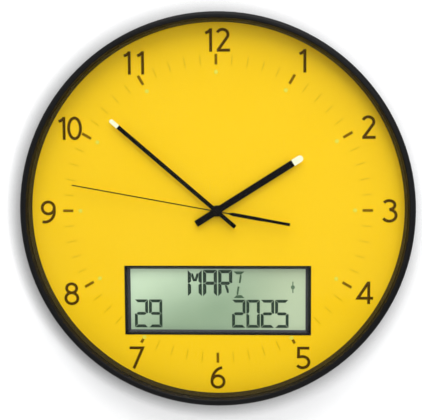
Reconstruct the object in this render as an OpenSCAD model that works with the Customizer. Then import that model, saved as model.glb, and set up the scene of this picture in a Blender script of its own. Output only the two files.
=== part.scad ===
// Round wall clock with an analogue dial and a liquid crystal calendar.
// Every piece is drawn in a plan frame: X to the right and Y up as the dial is read, Z out of the wall.
// The module on_wall() then stands the clock up, with its hanging point at the origin.

/* [Case] */
// Outside radius of the case rim
case_r = 150.5; // [146:0.5:165]
// Depth of the case, from the wall to the front lip
case_d = 42; // [42:0.5:48]
// Thickness of the case skirt
skirt_t = 2.6; // [2.2:0.1:3.4]
// Width of the front lip, seen from the front
lip_w = 5; // [4:0.1:5.6]
// Depth of the front lip, from its face to the back of its ledge
lip_h = 3.5; // [3:0.1:4.5]
// Radius on the outer edge of the rim
rim_round = 3; // [2:0.1:3.4]
// Number of catches inside the skirt that hold the dial stack
catch_n = 12; // [6:1:16]
// Thickness of the rear cover
cover_t = 2; // [1.6:0.1:2.4]
// How far the rear cover lies in from the wall
cover_in = 3; // [2.6:0.1:4]
// Number of screws in the rear cover
cover_screws_n = 8; // [6:1:10]
// How far the cover screws stand in from the outside of the rim
cover_screw_in = 19; // [17:0.5:22]

/* [Front] */
// Thickness of the flat glass lens
lens_t = 2; // [1.6:0.1:2.6]
// Depth of the ring that stands between the lens and the dial
ring_h = 8.7; // [8.7:0.1:10]
// How far the inner ring closes in towards the dial
ring_slope = 1.2; // [0.6:0.1:1.6]
// Thickness of the printed dial plate
dial_t = 1; // [0.8:0.1:1.4]
// Thickness of the moulded plate behind the dial
carrier_t = 2; // [1.6:0.1:2.6]

/* [Hands] */
// Hour hand, clockwise from twelve, in degrees
hour_turn = 57.9; // [0:0.1:360]
// Minute hand, clockwise from twelve, in degrees
minute_turn = 310.8; // [0:0.1:360]
// Second hand, clockwise from twelve, in degrees
second_turn = 280.4; // [0:0.1:360]
// Reach of the hour hand
hour_len = 77.5; // [60:0.5:84]
// Width of the hour hand
hour_w = 5.2; // [4:0.1:6]
// Reach of the minute hand
minute_len = 107.1; // [90:0.1:114]
// Width of the minute hand
minute_w = 3.2; // [2.6:0.1:4]
// Reach of the second hand
second_len = 113; // [95:0.1:120]
// Length of the second hand's counterweight
second_tail = 57; // [40:1:60]
// Length of the tails of the hour hand and the minute hand
hand_tail = 18.8; // [12:0.1:22]
// Length of the luminous tip of the hour hand
hour_lume_len = 8.6; // [6:0.1:12]
// Length of the luminous tip of the minute hand
minute_lume_len = 8; // [6:0.1:12]
// Thickness of the hour hand and the minute hand
hand_t = 0.5; // [0.4:0.05:0.6]

/* [Calendar display] */
// Width of the display window in the dial
window_w = 145; // [132:1:148]
// Height of the display window in the dial
window_h = 54.5; // [46:0.5:56]
// How far the middle of the window lies below the arbor
window_drop = 70.2; // [68:0.2:74]
// Width of the side walls of the window frame, seen from the front
window_side = 4.2; // [3:0.1:5]
// Height of the upper and lower walls of the window frame, seen from the front
window_rise = 3.2; // [2.4:0.1:4]
// Width of the flat front edge of the window frame
window_edge = 1.2; // [0.8:0.1:1.6]
// How deep the display glass lies behind the dial
window_depth = 4.5; // [4:0.1:5.2]
// Thickness of the display glass
lcd_t = 2.2; // [1.6:0.1:2.4]
// Thickness of the reflector behind the display glass
reflector_t = 0.5; // [0.3:0.1:0.7]
// Gap bridged by the conductive rubber strips
strip_h = 2.9; // [2.4:0.1:3.4]
// Thickness of the circuit boards
board_t = 1.2; // [0.8:0.1:1.6]
// Radius of a push button's head
button_r = 3.5; // [3:0.1:4]
// Travel of a push button
button_travel = 0.8; // [0.4:0.1:1]
// Distance from one push button to the next
button_pitch = 15; // [14:0.5:17]
// Number of loops of each battery spring
spring_curls = 5; // [4:1:6]

/* [Cells and battery bay] */
// Radius of a round cell
cell_r = 7.2; // [7:0.05:7.3]
// Length of a cell without its terminal
cell_len = 49.2; // [48.5:0.1:49.5]
// Thickness of the battery door
door_t = 1.8; // [1.4:0.1:2.2]
// Thickness of the walls of the battery bay
bay_wall = 2.4; // [2:0.1:3]
// How far the middle of the battery bay stands to the side of the arbor
bay_x = 82; // [72:1:90]

/* [Movement] */
// Room beside the movement's cell for its two contacts
contact_room = 3.4; // [3.2:0.1:4.4]
// Depth of the movement case
mov_d = 15.8; // [15.8:0.1:17]
// Wall thickness of the movement case
mov_wall = 1.1; // [0.9:0.05:1.2]
// Radius of the collar that passes through the dial
collar_r = 3.9; // [3.7:0.1:4.3]
// How far the collar stands out of the dial
collar_out = 2.8; // [2.2:0.1:3]
// Thickness of each gear
gear_t = 0.8; // [0.6:0.05:0.8]
// Play around every turning arbor
arbor_play = 0.06; // [0.04:0.01:0.08]
// Radius of the setting knob
knob_r = 5.6; // [4.5:0.1:6.5]

/* [Wall fixing] */
// Height of the hanging point above the arbor
hang_h = 118; // [114:0.5:119]
// Radius of the round entry of the keyhole
keyhole_r = 4.6; // [4:0.1:5]
// Width of the keyhole's slot
keyhole_slot = 4.8; // [4:0.1:5.2]
// Thickness of the hanger plate
hanger_t = 1.5; // [1.2:0.1:1.8]
// How far the rubber bumpers stand in from the outside of the rim
bumper_in = 32; // [24:1:40]

/* [Hidden] */
$fn = 96;
fit = 0.2;
play = 0.3;
rim_fn = 180;

// Radii of the case and of what lies in it
skirt_in_r = case_r - skirt_t;
stack_r = skirt_in_r - fit;
lip_in_r = case_r - lip_w;
ledge_r = lip_in_r - 0.7;
ring_front_r = ledge_r - 0.1;
sight_r = ring_front_r - ring_slope;
draft = 0.8;
cover_screw_ring = case_r - cover_screw_in;

// Levels from the wall, front to back
ledge_z = case_d - lip_h;
lens_back = ledge_z - lens_t;
dial_front = lens_back - ring_h;
dial_back = dial_front - dial_t;
carrier_back = dial_back - carrier_t;
carrier_rim = 4.8;
cover_out = cover_in;
cover_inner = cover_in + cover_t;

// Display levels and sizes
lcd_front = dial_front - window_depth;
lcd_back = lcd_front - lcd_t;
board_front = lcd_back - strip_h;
board_back = board_front - board_t;
lcd_w = window_w - 2 * window_side + 4;
lcd_h = window_h - 2 * window_rise + 4;
strip_w = 2;
lcd_ledge = strip_w + 0.6;
flange_grow = 2;
board_ear = 9;
board_w = window_w + 2 * flange_grow + 2 * board_ear;
board_h = window_h + 2 * flange_grow;
post_r = 3;
post_x = board_w / 2 - post_r - 1;
post_y = board_h / 2 - 8;

// Push buttons and their switches
button_n = 4;
button_x = 12;
button_y = -window_drop - 8;
switch_w = 6;
switch_h = 3.4;
switch_cap_r = 1.7;
switch_cap_h = 0.9;
switch_tip = board_back - switch_h - switch_cap_h;
button_flange_t = 1.2;
button_flange_r = button_r + 1.3;
button_stand = 1.2;

// Battery bay beside the movement
cell_tip_r = 2.6;
cell_tip_h = 1.2;
cell_total = cell_len + cell_tip_h;
bay_w = cell_total + 7;
bay_h = 4 * cell_r + 1.6;
bay_y = 0;
bay_mouth = cover_out + door_t;
bay_floor = bay_mouth + 2 * cell_r + 0.6;
bay_floor_t = 1.6;
bay_seat = bay_wall / 2;
door_w = bay_w + 2 * bay_seat - 2 * play;
door_h = bay_h + 2 * bay_seat - 2 * play;
hinge_r = door_t / 2 + 0.4;
hinge_pin_r = 0.8;
hinge_y = bay_y - door_h / 2 + hinge_r;
hinge_z = cover_out + hinge_r;
hinge_pin_len = 2.4;
cell_pitch = 2 * cell_r + 0.6;
cell_z = bay_mouth + cell_r + 0.3;
tab_t = 0.4;
spring_wire = 0.35;
spring_wide = 5;
spring_narrow = 2.4;
spring_sides = 6;
spring_rings = 8;

// Movement: its width follows its cell, and its levels are measured from its rear face
mov_w = cell_total + contact_room + 2 * mov_wall;
mov_back = carrier_back - mov_d;
arbor_r = 0.4;
second_r = 0.5;
minute_pipe_r = 1.6;
hour_pipe_r = 2.5;
lid_t = mov_wall;
lid_back = carrier_back - lid_t;
second_lvl = mov_back + 2.8;
step_lvl = mov_back + 4.4;
third_lvl = mov_back + 5.8;
minute_lvl = mov_back + 7.4;
stator_t = 0.8;
bridge_t = 1;
bridge_lvl = mov_back + 9.6;
stator_lvl = bridge_lvl - stator_t;
core_lvl = stator_lvl - stator_t;
cannon_lvl = mov_back + 11.3;
hour_lvl = mov_back + 12.9;
pivot_from = mov_back + mov_wall + 0.1;
pivot_to = bridge_lvl + bridge_t;
mov_bay_top = -mov_w / 2 + mov_wall + 2 * cell_r + 1;
mov_cell_y = -mov_w / 2 + mov_wall + cell_r + 0.4;
mov_cell_z = mov_back + cell_r + 0.2;

// Hooked lugs of the carrier and the notches of the movement case that they snap into
lug_t = 1.6;
lug_w = 12;
lug_h = 6;
hook_in = 0.7;
hook_run = 1;
hook_flat = 0.4;
notch_d = 0.6;

// Teeth of the wheel train
rotor_pinion_n = 8;
step_wheel_n = 40;
step_pinion_n = 10;
second_wheel_n = 60;
second_pinion_n = 8;
third_wheel_n = 60;
third_pinion_n = 8;
minute_wheel_n = 64;
cannon_n = 12;
motion_wheel_n = 36;
motion_pinion_n = 10;
hour_wheel_n = 40;
pressure = 20;
tooth_thinning = 0.1;

// Places of the arbors round the centre of the dial
third_arm = 10.2;
third_dir = 10;
step_arm = 10.5;
step_dir = 110;
motion_arm = 10;
motion_dir = 190;
rotor_arm = 4.8;
rotor_dir = 150;
third_at = third_arm * [cos(third_dir), sin(third_dir)];
step_at = step_arm * [cos(step_dir), sin(step_dir)];
motion_at = motion_arm * [cos(motion_dir), sin(motion_dir)];
rotor_at = step_at + rotor_arm * [cos(rotor_dir), sin(rotor_dir)];
m_rotor = 2 * rotor_arm / (rotor_pinion_n + step_wheel_n);
m_step = 2 * step_arm / (step_pinion_n + second_wheel_n);
m_second = 2 * third_arm / (second_pinion_n + third_wheel_n);
m_third = 2 * third_arm / (third_pinion_n + minute_wheel_n);
m_cannon = 2 * motion_arm / (cannon_n + motion_wheel_n);
m_motion = 2 * motion_arm / (motion_pinion_n + hour_wheel_n);

// Motor parts
magnet_r = 2.5;
stator_bore = 3;
coil_y = mov_w / 2 - 6;
coil_r = 3.4;
coil_len = 28;
core_w = 3;
coil_flange = 1;
core_len = 2 * (coil_len / 2 + coil_flange + 4);
mov_board_left = 12.8;
mov_board_low = -6;
mov_board_h = 22;
mov_board_t = board_t - 0.2;
crystal_r = 1;
crystal_len = 6;
crystal_gap = 2;

// Hands, from the dial up
collar_top = dial_front + collar_out;
hour_hand_z = collar_top + 0.4;
minute_hand_z = hour_hand_z + hand_t + 1.1;
second_hand_z = minute_hand_z + hand_t + 0.9;
second_hand_t = 0.4;
second_line_w = 0.84;
second_bar_w = 2.7;
second_bar_end_w = 2.3;
second_bar_from = 9;
hour_boss_r = 4.4;
minute_boss_r = 3.6;
press = 0.02;

// Wall fixing
hanger_w = 26;
hanger_low = 18;
hanger_high = 7;
pocket_w = 15;
pocket_low = 14;
pocket_high = 4;
pocket_d = 8;
pocket_wall = 1.4;
keyhole_drop = 8;
hanger_screw_x = 10;
hanger_screw_drop = 6;
screw_head_r = 2.7;
screw_head_h = 1.5;
screw_r = 1.3;
pilot_r = 1;
shank_r = 0.98;
cover_screw_bite = 7;
board_screw_bite = 4;
bumper_r = 6;
bumper_ring = case_r - bumper_in;

// Stands the plan up on the wall: plan Y becomes height, plan Z comes out of the wall
module on_wall() {
    translate([0, 0, -hang_h])
        rotate([90, 0, 0])
            children();
}

module up(z) {
    translate([0, 0, z])
        children();
}

// A plate centred on X and Y
module slab(w, h, t) {
    translate([-w / 2, -h / 2, 0])
        cube([w, h, t]);
}

// A plate with round corners, centred on X and Y
module round_slab(w, h, t, r) {
    linear_extrude(t)
        union() {
            square([w - 2 * r, h], center = true);
            square([w, h - 2 * r], center = true);
            for (x = [-1, 1], y = [-1, 1])
                translate([x * (w / 2 - r), y * (h / 2 - r)])
                    circle(r, $fn = 32);
        }
}

// A flat ring
module ring(outer, inner, t) {
    difference() {
        cylinder(r = outer, h = t);
        up(-1)
            cylinder(r = inner, h = t + 2);
    }
}

// Repeats a piece round the arbor, from the angle first
module around(n, radius, first = 0) {
    for (i = [0 : n - 1])
        rotate(first + i * 360 / n)
            translate([radius, 0, 0])
                children();
}

function arc(centre, r, from, to, steps) =
    [for (i = [0 : steps]) centre + r * [cos(from + (to - from) * i / steps), sin(from + (to - from) * i / steps)]];

// Sweeps a small closed section along a path of points, as one skin
function side_of(d) = let (n = cross(d, [0, 0, 1])) norm(n) < 0.01 ? [1, 0, 0] : n / norm(n);
function ring_at(p, d, r, sides) =
    let (u = side_of(d), v = cross(d, u))
    [for (k = [0 : sides - 1]) p + r * (cos(k * 360 / sides) * u + sin(k * 360 / sides) * v)];

module swept_tube(path, r, sides) {
    last = len(path) - 1;
    dirs = [for (i = [0 : last])
        let (d = path[min(i + 1, last)] - path[max(i - 1, 0)]) d / norm(d)];
    points = [for (i = [0 : last]) each ring_at(path[i], dirs[i], r, sides)];
    skin = [for (i = [0 : last - 1], k = [0 : sides - 1])
        let (a = i * sides + k, b = i * sides + (k + 1) % sides)
        each [[a, b, b + sides], [a, b + sides, a + sides]]];
    back_cap = [[for (k = [sides - 1 : -1 : 0]) k]];
    front_cap = [[for (k = [0 : sides - 1]) last * sides + k]];
    polyhedron(points, concat(skin, back_cap, front_cap), convexity = 6);
}

// Teeth
// Half the angle of an involute tooth at radius r, for a wheel of n teeth and module m
function involute(a) = tan(a) * 180 / PI - a;
function half_tooth(m, n, r) =
    let (base = m * n / 2 * cos(pressure))
    90 / n - tooth_thinning * 180 / PI / n + involute(pressure) - involute(acos(min(1, base / max(r, base))));

function flank_radii(m, n, root, tip) =
    let (start = max(root + 0.15 * m, m * n / 2 * cos(pressure)))
    [root, start, (start + tip) / 2, tip];

module toothed(m, n, above, below, t) {
    root = m * (n / 2 - below);
    tip = m * (n / 2 + above);
    radii = flank_radii(m, n, root, tip);
    linear_extrude(t)
        polygon([for (i = [0 : n - 1])
            let (mid = i * 360 / n)
            each concat(
                [for (r = radii) r * [cos(mid - half_tooth(m, n, r)), sin(mid - half_tooth(m, n, r))]],
                [for (j = [3 : -1 : 0]) let (r = radii[j])
                    r * [cos(mid + half_tooth(m, n, r)), sin(mid + half_tooth(m, n, r))]]
            )]);
}

// A wheel has low teeth and deep gaps, a pinion tall leaves, so that they clear each other
module wheel_teeth(m, n, t) {
    toothed(m, n, 0.45, 1.3, t);
}
module pinion_teeth(m, n, t) {
    toothed(m, n, 1, 0.8, t);
}

// Angle of the driven wheel's first tooth, when the driver's first tooth points along 0
function meshed(dir, driver_n, driven_n) = dir + 180 + 180 / driven_n + dir * driver_n / driven_n;

// Five round holes that lighten a wheel
module wheel_holes(r) {
    hole_ring = 5.2;
    around(5, hole_ring)
        up(-1)
            cylinder(r = r, h = gear_t + 2, $fn = 24);
}

// Case
module front_frame() {
    edge_mid = [case_r - rim_round, case_d - rim_round];
    lip_round = 0.9;
    catch_depth = 0.6;
    catch_run = 1.6;
    catch_angle = 8;
    catch_z = carrier_back - carrier_rim;
    color([0.09, 0.09, 0.1])
        on_wall()
            union() {
                rotate_extrude($fn = rim_fn)
                    polygon(concat(
                        [[skirt_in_r, 0], [case_r - draft, 0], [case_r, case_d * 0.45]],
                        arc(edge_mid, rim_round, 0, 90, 8),
                        arc([lip_in_r + lip_round, case_d - lip_round], lip_round, 90, 180, 3),
                        [[ledge_r, ledge_z], [skirt_in_r, ledge_z]]
                    ));
                for (i = [0 : catch_n - 1])
                    rotate(i * 360 / catch_n - catch_angle / 2)
                        rotate_extrude(angle = catch_angle, $fn = rim_fn)
                            polygon([
                                [skirt_in_r + 0.5, catch_z],
                                [skirt_in_r - catch_depth, catch_z],
                                [skirt_in_r - catch_depth, catch_z - 0.4],
                                [skirt_in_r + 0.5, catch_z - catch_run]
                            ]);
            }
}

module lens() {
    bevel = 0.3;
    color([0.85, 0.9, 0.92, 0.3])
        on_wall()
            rotate_extrude($fn = rim_fn)
                polygon([
                    [0, lens_back], [stack_r - bevel, lens_back], [stack_r, lens_back + bevel],
                    [stack_r, ledge_z - bevel], [stack_r - bevel, ledge_z], [0, ledge_z]
                ]);
}

// Inner ring: a sloping wall with a flange at the dial and ribs to its back
module dial_ring() {
    wall = 1.1;
    flange_t = 1.2;
    rib_t = 1.2;
    color([0.1, 0.1, 0.1])
        on_wall()
            union() {
                rotate_extrude($fn = rim_fn)
                    polygon([
                        [sight_r, dial_front], [stack_r, dial_front], [stack_r, dial_front + flange_t],
                        [sight_r + wall, dial_front + flange_t], [ring_front_r + wall, lens_back],
                        [ring_front_r, lens_back]
                    ]);
                around(24, sight_r + wall - 0.1)
                    up(dial_front + flange_t - 0.1)
                        translate([0, -rib_t / 2, 0])
                            cube([stack_r - sight_r - wall - 0.1, rib_t, ring_h - flange_t + 0.1]);
            }
}

module window_hole(grow, t) {
    translate([0, -window_drop, 0])
        slab(window_w + 2 * grow, window_h + 2 * grow, t);
}

module dial_plate() {
    color([0.96, 0.8, 0.14])
        on_wall()
            difference() {
                up(dial_back)
                    cylinder(r = stack_r - fit, h = dial_t, $fn = rim_fn);
                up(dial_back - 1)
                    cylinder(r = collar_r + fit, h = dial_t + 2);
                up(dial_back - 1)
                    window_hole(0, dial_t + 2);
            }
}

// Springy lug that holds a side of the movement: its hook snaps into a notch of the movement case
module hooked_lug() {
    translate([0, lug_w / 2, 0])
        rotate([90, 0, 0])
            linear_extrude(lug_w)
                polygon([
                    [0, 0], [lug_t, 0], [lug_t, lug_h + 0.5], [0, lug_h + 0.5],
                    [0, hook_run + hook_flat], [-hook_in, hook_run + hook_flat], [-hook_in, hook_run]
                ]);
}

// Moulded plate that backs the dial, with ribs, a rim, screw posts and a seat for the movement
module dial_carrier() {
    rib_t = 1.6;
    rib_h = 4;
    rib_from = mov_w * 0.75;
    rim_t = 1.6;
    post_len = carrier_back - cover_inner;
    cover_post_r = 3.6;
    guard_t = 1.6;
    opening_w = window_w + 2 * flange_grow + 2 * fit;
    opening_h = window_h + 2 * flange_grow + 2 * fit;
    color([0.2, 0.2, 0.21])
        on_wall()
            difference() {
                union() {
                    up(carrier_back)
                        cylinder(r = stack_r, h = carrier_t, $fn = rim_fn);
                    up(carrier_back - carrier_rim)
                        ring(stack_r, stack_r - rim_t, carrier_rim + 0.5, $fn = rim_fn);
                    up(carrier_back - rib_h)
                        ring(rib_from + rib_t, rib_from, rib_h + 0.5);
                    around(16, rib_from, 11.25)
                        up(carrier_back - rib_h)
                            translate([0, -rib_t / 2, 0])
                                cube([stack_r - rim_t / 2 - rib_from, rib_t, rib_h + 0.5]);
                    translate([0, -window_drop, carrier_back - rib_h])
                        slab(opening_w + 2 * guard_t, opening_h + 2 * guard_t, rib_h + 0.5);
                    for (x = [-1, 1], y = [-1, 1])
                        translate([x * post_x, y * post_y - window_drop, board_front])
                            cylinder(r = post_r, h = carrier_back - board_front + 0.5, $fn = 32);
                    around(cover_screws_n, cover_screw_ring, 180 / cover_screws_n)
                        up(cover_inner)
                            cylinder(r = cover_post_r, h = post_len + 0.5, $fn = 32);
                    for (a = [0 : 90 : 270])
                        rotate(a)
                            translate([mov_w / 2 + fit, 0, carrier_back - lug_h])
                                hooked_lug();
                }
                up(carrier_back - 1)
                    cylinder(r = collar_r + fit, h = carrier_t + 2);
                translate([0, -window_drop, carrier_back - rib_h - 1])
                    slab(opening_w, opening_h, carrier_t + rib_h + 2);
                for (x = [-1, 1], y = [-1, 1])
                    translate([x * post_x, y * post_y - window_drop, board_front - 1])
                        cylinder(r = pilot_r, h = board_screw_bite + 2, $fn = 24);
                around(cover_screws_n, cover_screw_ring, 180 / cover_screws_n)
                    up(cover_inner - 1)
                        cylinder(r = pilot_r, h = cover_screw_bite + 2, $fn = 24);
                translate([bay_x, bay_y, carrier_back - rib_h - 1])
                    slab(bay_w + 2 * bay_wall + 2, bay_h + 2 * bay_wall + 2, rib_h + 1);
            }
}

// Calendar display
// Opening with four sloping sides, made where two wedges cross
module funnel(w0, h0, w1, h1, z0, z1) {
    intersection() {
        rotate([90, 0, 0])
            linear_extrude(2 * window_h, center = true)
                polygon([[-w0 / 2, z0], [w0 / 2, z0], [w1 / 2, z1], [-w1 / 2, z1]]);
        rotate([90, 0, 90])
            linear_extrude(2 * window_w, center = true)
                polygon([[-h0 / 2, z0], [h0 / 2, z0], [h1 / 2, z1], [-h1 / 2, z1]]);
    }
}

module window_frame() {
    seat_w = lcd_w + 2 * fit;
    seat_h = lcd_h + 2 * fit;
    front_w = window_w - 2 * window_edge;
    front_h = window_h - 2 * window_edge;
    back_w = window_w - 2 * window_side;
    back_h = window_h - 2 * window_rise;
    over = 0.3;
    color([0.12, 0.12, 0.13])
        on_wall()
            translate([0, -window_drop, 0])
                difference() {
                    union() {
                        up(dial_back - 0.5)
                            slab(window_w - 2 * fit, window_h - 2 * fit, dial_t + 0.5 + over);
                        up(lcd_back)
                            slab(window_w + 2 * flange_grow, window_h + 2 * flange_grow, dial_back - lcd_back);
                    }
                    funnel(
                        back_w, back_h, front_w + (front_w - back_w) / window_depth,
                        front_h + (front_h - back_h) / window_depth, lcd_front, dial_front + 1
                    );
                    up(lcd_back - 1)
                        slab(seat_w, seat_h, lcd_t + 1);
                    up(lcd_front - 0.5)
                        slab(back_w, back_h, 1);
                }
}

// Two plates of glass bonded together: the front one stands out as a ledge that carries the contacts
module lcd_glass() {
    color([0.66, 0.74, 0.62])
        on_wall()
            translate([0, -window_drop, lcd_back])
                union() {
                    slab(lcd_w, lcd_h - 2 * lcd_ledge, lcd_t);
                    up(lcd_t / 2)
                        slab(lcd_w, lcd_h, lcd_t / 2);
                }
}

module lcd_reflector() {
    color([0.8, 0.82, 0.78])
        on_wall()
            translate([0, -window_drop, lcd_back - reflector_t])
                slab(lcd_w - 1, lcd_h - 2 * lcd_ledge - 1, reflector_t);
}

module contact_strips() {
    color([0.75, 0.5, 0.55])
        on_wall()
            for (y = [-1, 1])
                translate([0, y * (lcd_h - lcd_ledge) / 2 - window_drop, board_front])
                    slab(lcd_w - 8, strip_w, strip_h + lcd_t / 2);
}

module lcd_board() {
    color([0.1, 0.4, 0.2])
        on_wall()
            difference() {
                translate([0, -window_drop, board_back])
                    round_slab(board_w, board_h, board_t, 2);
                for (x = [-1, 1], y = [-1, 1])
                    translate([x * post_x, y * post_y - window_drop, board_back - 1])
                        cylinder(r = screw_r, h = board_t + 2, $fn = 24);
            }
}

// Controller chip with its rows of legs
module lcd_chip() {
    chip_w = 12;
    chip_t = 1.5;
    leg_n = 11;
    leg_pitch = 1;
    leg_w = 0.4;
    leg_out = 1.4;
    leg_t = 0.2;
    color([0.13, 0.13, 0.13])
        on_wall()
            translate([-button_pitch * 2, -window_drop, board_back - chip_t])
                union() {
                    slab(chip_w, chip_w, chip_t);
                    for (side = [0 : 90 : 270], i = [0 : leg_n - 1])
                        rotate(side)
                            translate([chip_w / 2 - 0.3, (i - leg_n / 2 + 0.5) * leg_pitch, chip_t - leg_t])
                                translate([0, -leg_w / 2, 0])
                                    cube([leg_out + 0.3, leg_w, leg_t]);
                }
}

// Small chip capacitors round the controller, each with its two bright ends drawn in
module board_capacitors() {
    size = [2, 1.25, 0.9];
    color([0.6, 0.5, 0.38])
        on_wall()
            for (i = [0 : 5])
                translate([
                    -button_pitch * 2 + (i % 3 - 1) * 5, (i < 3 ? 1 : -1) * 13 - window_drop, board_back - size[2]
                ])
                    union() {
                        slab(size[0] - 0.6, size[1], size[2]);
                        for (side = [-1, 1])
                            translate([side * (size[0] - 0.35) / 2, 0, 0])
                                slab(0.35, size[1] + 0.1, size[2]);
                    }
}

// A drawn metal can lying along X, its closed end rounded
module crystal_can(r, length) {
    rotate([0, 90, 0])
        rotate_extrude($fn = 32)
            polygon([
                [0, 0], [r - 0.2, 0], [r, 0.2], [r, length - 0.3], [r - 0.3, length], [0, length]
            ]);
}

module calendar_crystal() {
    color([0.8, 0.8, 0.82])
        on_wall()
            translate([crystal_gap - button_pitch, -window_drop, board_back - crystal_r])
                crystal_can(crystal_r, crystal_len);
}

// Pan head screw: head towards the wall, shank towards the dial, a cross cut in the head
module screw(head_z, shank) {
    cross_w = 0.7;
    cross_l = 3;
    difference() {
        union() {
            up(head_z - screw_head_h)
                cylinder(r = screw_head_r, h = screw_head_h, $fn = 32);
            up(head_z - 0.1)
                cylinder(r = shank_r, h = shank + 0.1, $fn = 24);
        }
        for (a = [0, 90])
            rotate(a)
                up(head_z - screw_head_h - 1)
                    slab(cross_l, cross_w, 1.8);
    }
}

module board_screws() {
    color([0.75, 0.75, 0.77])
        on_wall()
            for (x = [-1, 1], y = [-1, 1])
                translate([x * post_x, y * post_y - window_drop, 0])
                    screw(board_back, board_t + board_screw_bite);
}

module at_button(i) {
    translate([button_x + i * button_pitch, button_y, 0])
        children();
}

module tact_switches() {
    color([0.3, 0.3, 0.32])
        on_wall()
            for (i = [0 : button_n - 1])
                at_button(i)
                    union() {
                        up(board_back - switch_h)
                            slab(switch_w, switch_w, switch_h);
                        up(switch_tip)
                            cylinder(r = switch_cap_r, h = switch_cap_h + 0.1, $fn = 24);
                    }
}

// Button with a domed head outside the cover, a flange inside it and a stem to its switch
module button(i) {
    stem_r = 1.6;
    dome = 0.5;
    head_z = cover_out - button_stand;
    color([0.25, 0.25, 0.27])
        on_wall()
            at_button(i)
                rotate_extrude($fn = 48)
                    polygon([
                        [0, head_z], [button_r - dome, head_z], [button_r, head_z + dome],
                        [button_r, cover_inner], [button_flange_r, cover_inner],
                        [button_flange_r, cover_inner + button_flange_t],
                        [stem_r, cover_inner + button_flange_t],
                        [stem_r, switch_tip - button_travel - 0.05], [0, switch_tip - button_travel - 0.05]
                    ]);
}
module button_mode() { button(0); }
module button_set() { button(1); }
module button_up() { button(2); }
module button_down() { button(3); }

// Battery bay
// Door with finger ridges, knuckle and two stub pins
module battery_door() {
    ridge_n = 6;
    ridge_w = 14;
    ridge_l = 0.7;
    ridge_h = 0.5;
    ridge_pitch = 1.6;
    ridge_in = 3;
    latch_w = 10;
    latch_t = 1;
    latch_h = 3;
    top = bay_y + door_h / 2;
    color([0.16, 0.16, 0.17])
        on_wall()
            union() {
                translate([bay_x - door_w / 2, hinge_y, cover_out])
                    cube([door_w, top - hinge_y, door_t]);
                translate([bay_x - door_w / 2, hinge_y, hinge_z])
                    rotate([0, 90, 0])
                        cylinder(r = hinge_r, h = door_w, $fn = 32);
                translate([bay_x - door_w / 2 - hinge_pin_len, hinge_y, hinge_z])
                    rotate([0, 90, 0])
                        cylinder(r = hinge_pin_r, h = door_w + 2 * hinge_pin_len, $fn = 32);
                for (i = [0 : ridge_n - 1])
                    translate([bay_x - ridge_w / 2, top - ridge_in - i * ridge_pitch, cover_out - ridge_h])
                        cube([ridge_w, ridge_l, ridge_h + 0.1]);
                translate([bay_x - latch_w / 2, bay_y + bay_h / 2 - play - latch_t, bay_mouth - 0.1])
                    cube([latch_w, latch_t, latch_h]);
            }
}

module bay_row(i) {
    translate([bay_x, bay_y + (i - 0.5) * cell_pitch, cell_z])
        rotate([0, i == 0 ? 90 : -90, 0])
            children();
}

// A dry cell along its own axis: jacket, rolled shoulder, terminal and flat end
module cell() {
    shoulder = 0.8;
    rotate_extrude($fn = 64)
        polygon([
            [0, 0], [cell_r - 1.2, 0], [cell_r - 1, 0.3], [cell_r - 0.3, 0.3], [cell_r, 0.7],
            [cell_r, cell_len - shoulder], [cell_r - shoulder, cell_len],
            [cell_tip_r, cell_len], [cell_tip_r, cell_total - 0.2],
            [cell_tip_r - 0.2, cell_total], [0, cell_total]
        ]);
}

// The flat end of each cell rests on its spring, the terminal on its tab
module battery_cells() {
    color([0.2, 0.35, 0.25])
        on_wall()
            for (i = [0, 1])
                bay_row(i)
                    up(bay_w / 2 - tab_t - cell_total - 0.02)
                        cell();
}

// Conical spring as one wire: its wide loops stand on the tab, its small end meets the cell
function spring_point(t, length) =
    let (r = spring_wide + (spring_narrow - spring_wide) * t)
    [r * cos(360 * spring_curls * t), r * sin(360 * spring_curls * t), spring_wire + (length - 2 * spring_wire) * t];

module battery_springs() {
    length = bay_w - 2 * tab_t - cell_total - 0.1;
    steps = spring_curls * spring_rings;
    path = [for (i = [0 : steps]) spring_point(i / steps, length)];
    gaps = [for (i = [0 : steps - spring_rings / 2], j = [i + spring_rings / 2 : steps])
        norm(path[i] - path[j]) - 2 * spring_wire];
    echo("least gap between curls of a battery spring, mm", min(gaps));
    color([0.8, 0.8, 0.82])
        on_wall()
            for (i = [0, 1])
                bay_row(i)
                    up(-bay_w / 2 + tab_t + 0.02)
                        swept_tube(path, spring_wire, spring_sides);
}

// Sheet metal plates on the bay's end walls: two meet the terminals, two carry the springs
module battery_tabs() {
    tab_w = 11;
    color([0.82, 0.82, 0.84])
        on_wall()
            for (i = [0, 1], end = [-1, 1])
                bay_row(i)
                    up(end * (bay_w / 2 - tab_t / 2) - tab_t / 2)
                        slab(tab_w, tab_w, tab_t);
}

// Two wires from the bay's lower wall to the circuit board
module battery_leads() {
    lead_r = 0.6;
    lead_pitch = 4;
    overlap = 3;
    start_y = bay_y - bay_h / 2 - bay_wall;
    end_y = board_h / 2 - window_drop - overlap;
    lead_x = board_w / 2 - 2 * board_ear;
    lead_z = board_back - lead_r - 0.05;
    color([0.7, 0.1, 0.1])
        on_wall()
            for (x = [lead_x, lead_x - lead_pitch])
                union() {
                    translate([x, start_y, lead_z])
                        rotate([90, 0, 0])
                            cylinder(r = lead_r, h = start_y - end_y, $fn = 16);
                    translate([x, end_y, lead_z])
                        sphere(r = lead_r, $fn = 16);
                }
}

// Rear cover
module keyhole(t) {
    union() {
        translate([0, hang_h - keyhole_drop, 0])
            cylinder(r = keyhole_r, h = t, $fn = 48);
        translate([-keyhole_slot / 2, hang_h - keyhole_drop, 0])
            cube([keyhole_slot, keyhole_drop - keyhole_slot / 2, t]);
        translate([0, hang_h - keyhole_slot / 2, 0])
            cylinder(r = keyhole_slot / 2, h = t, $fn = 48);
    }
}

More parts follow.
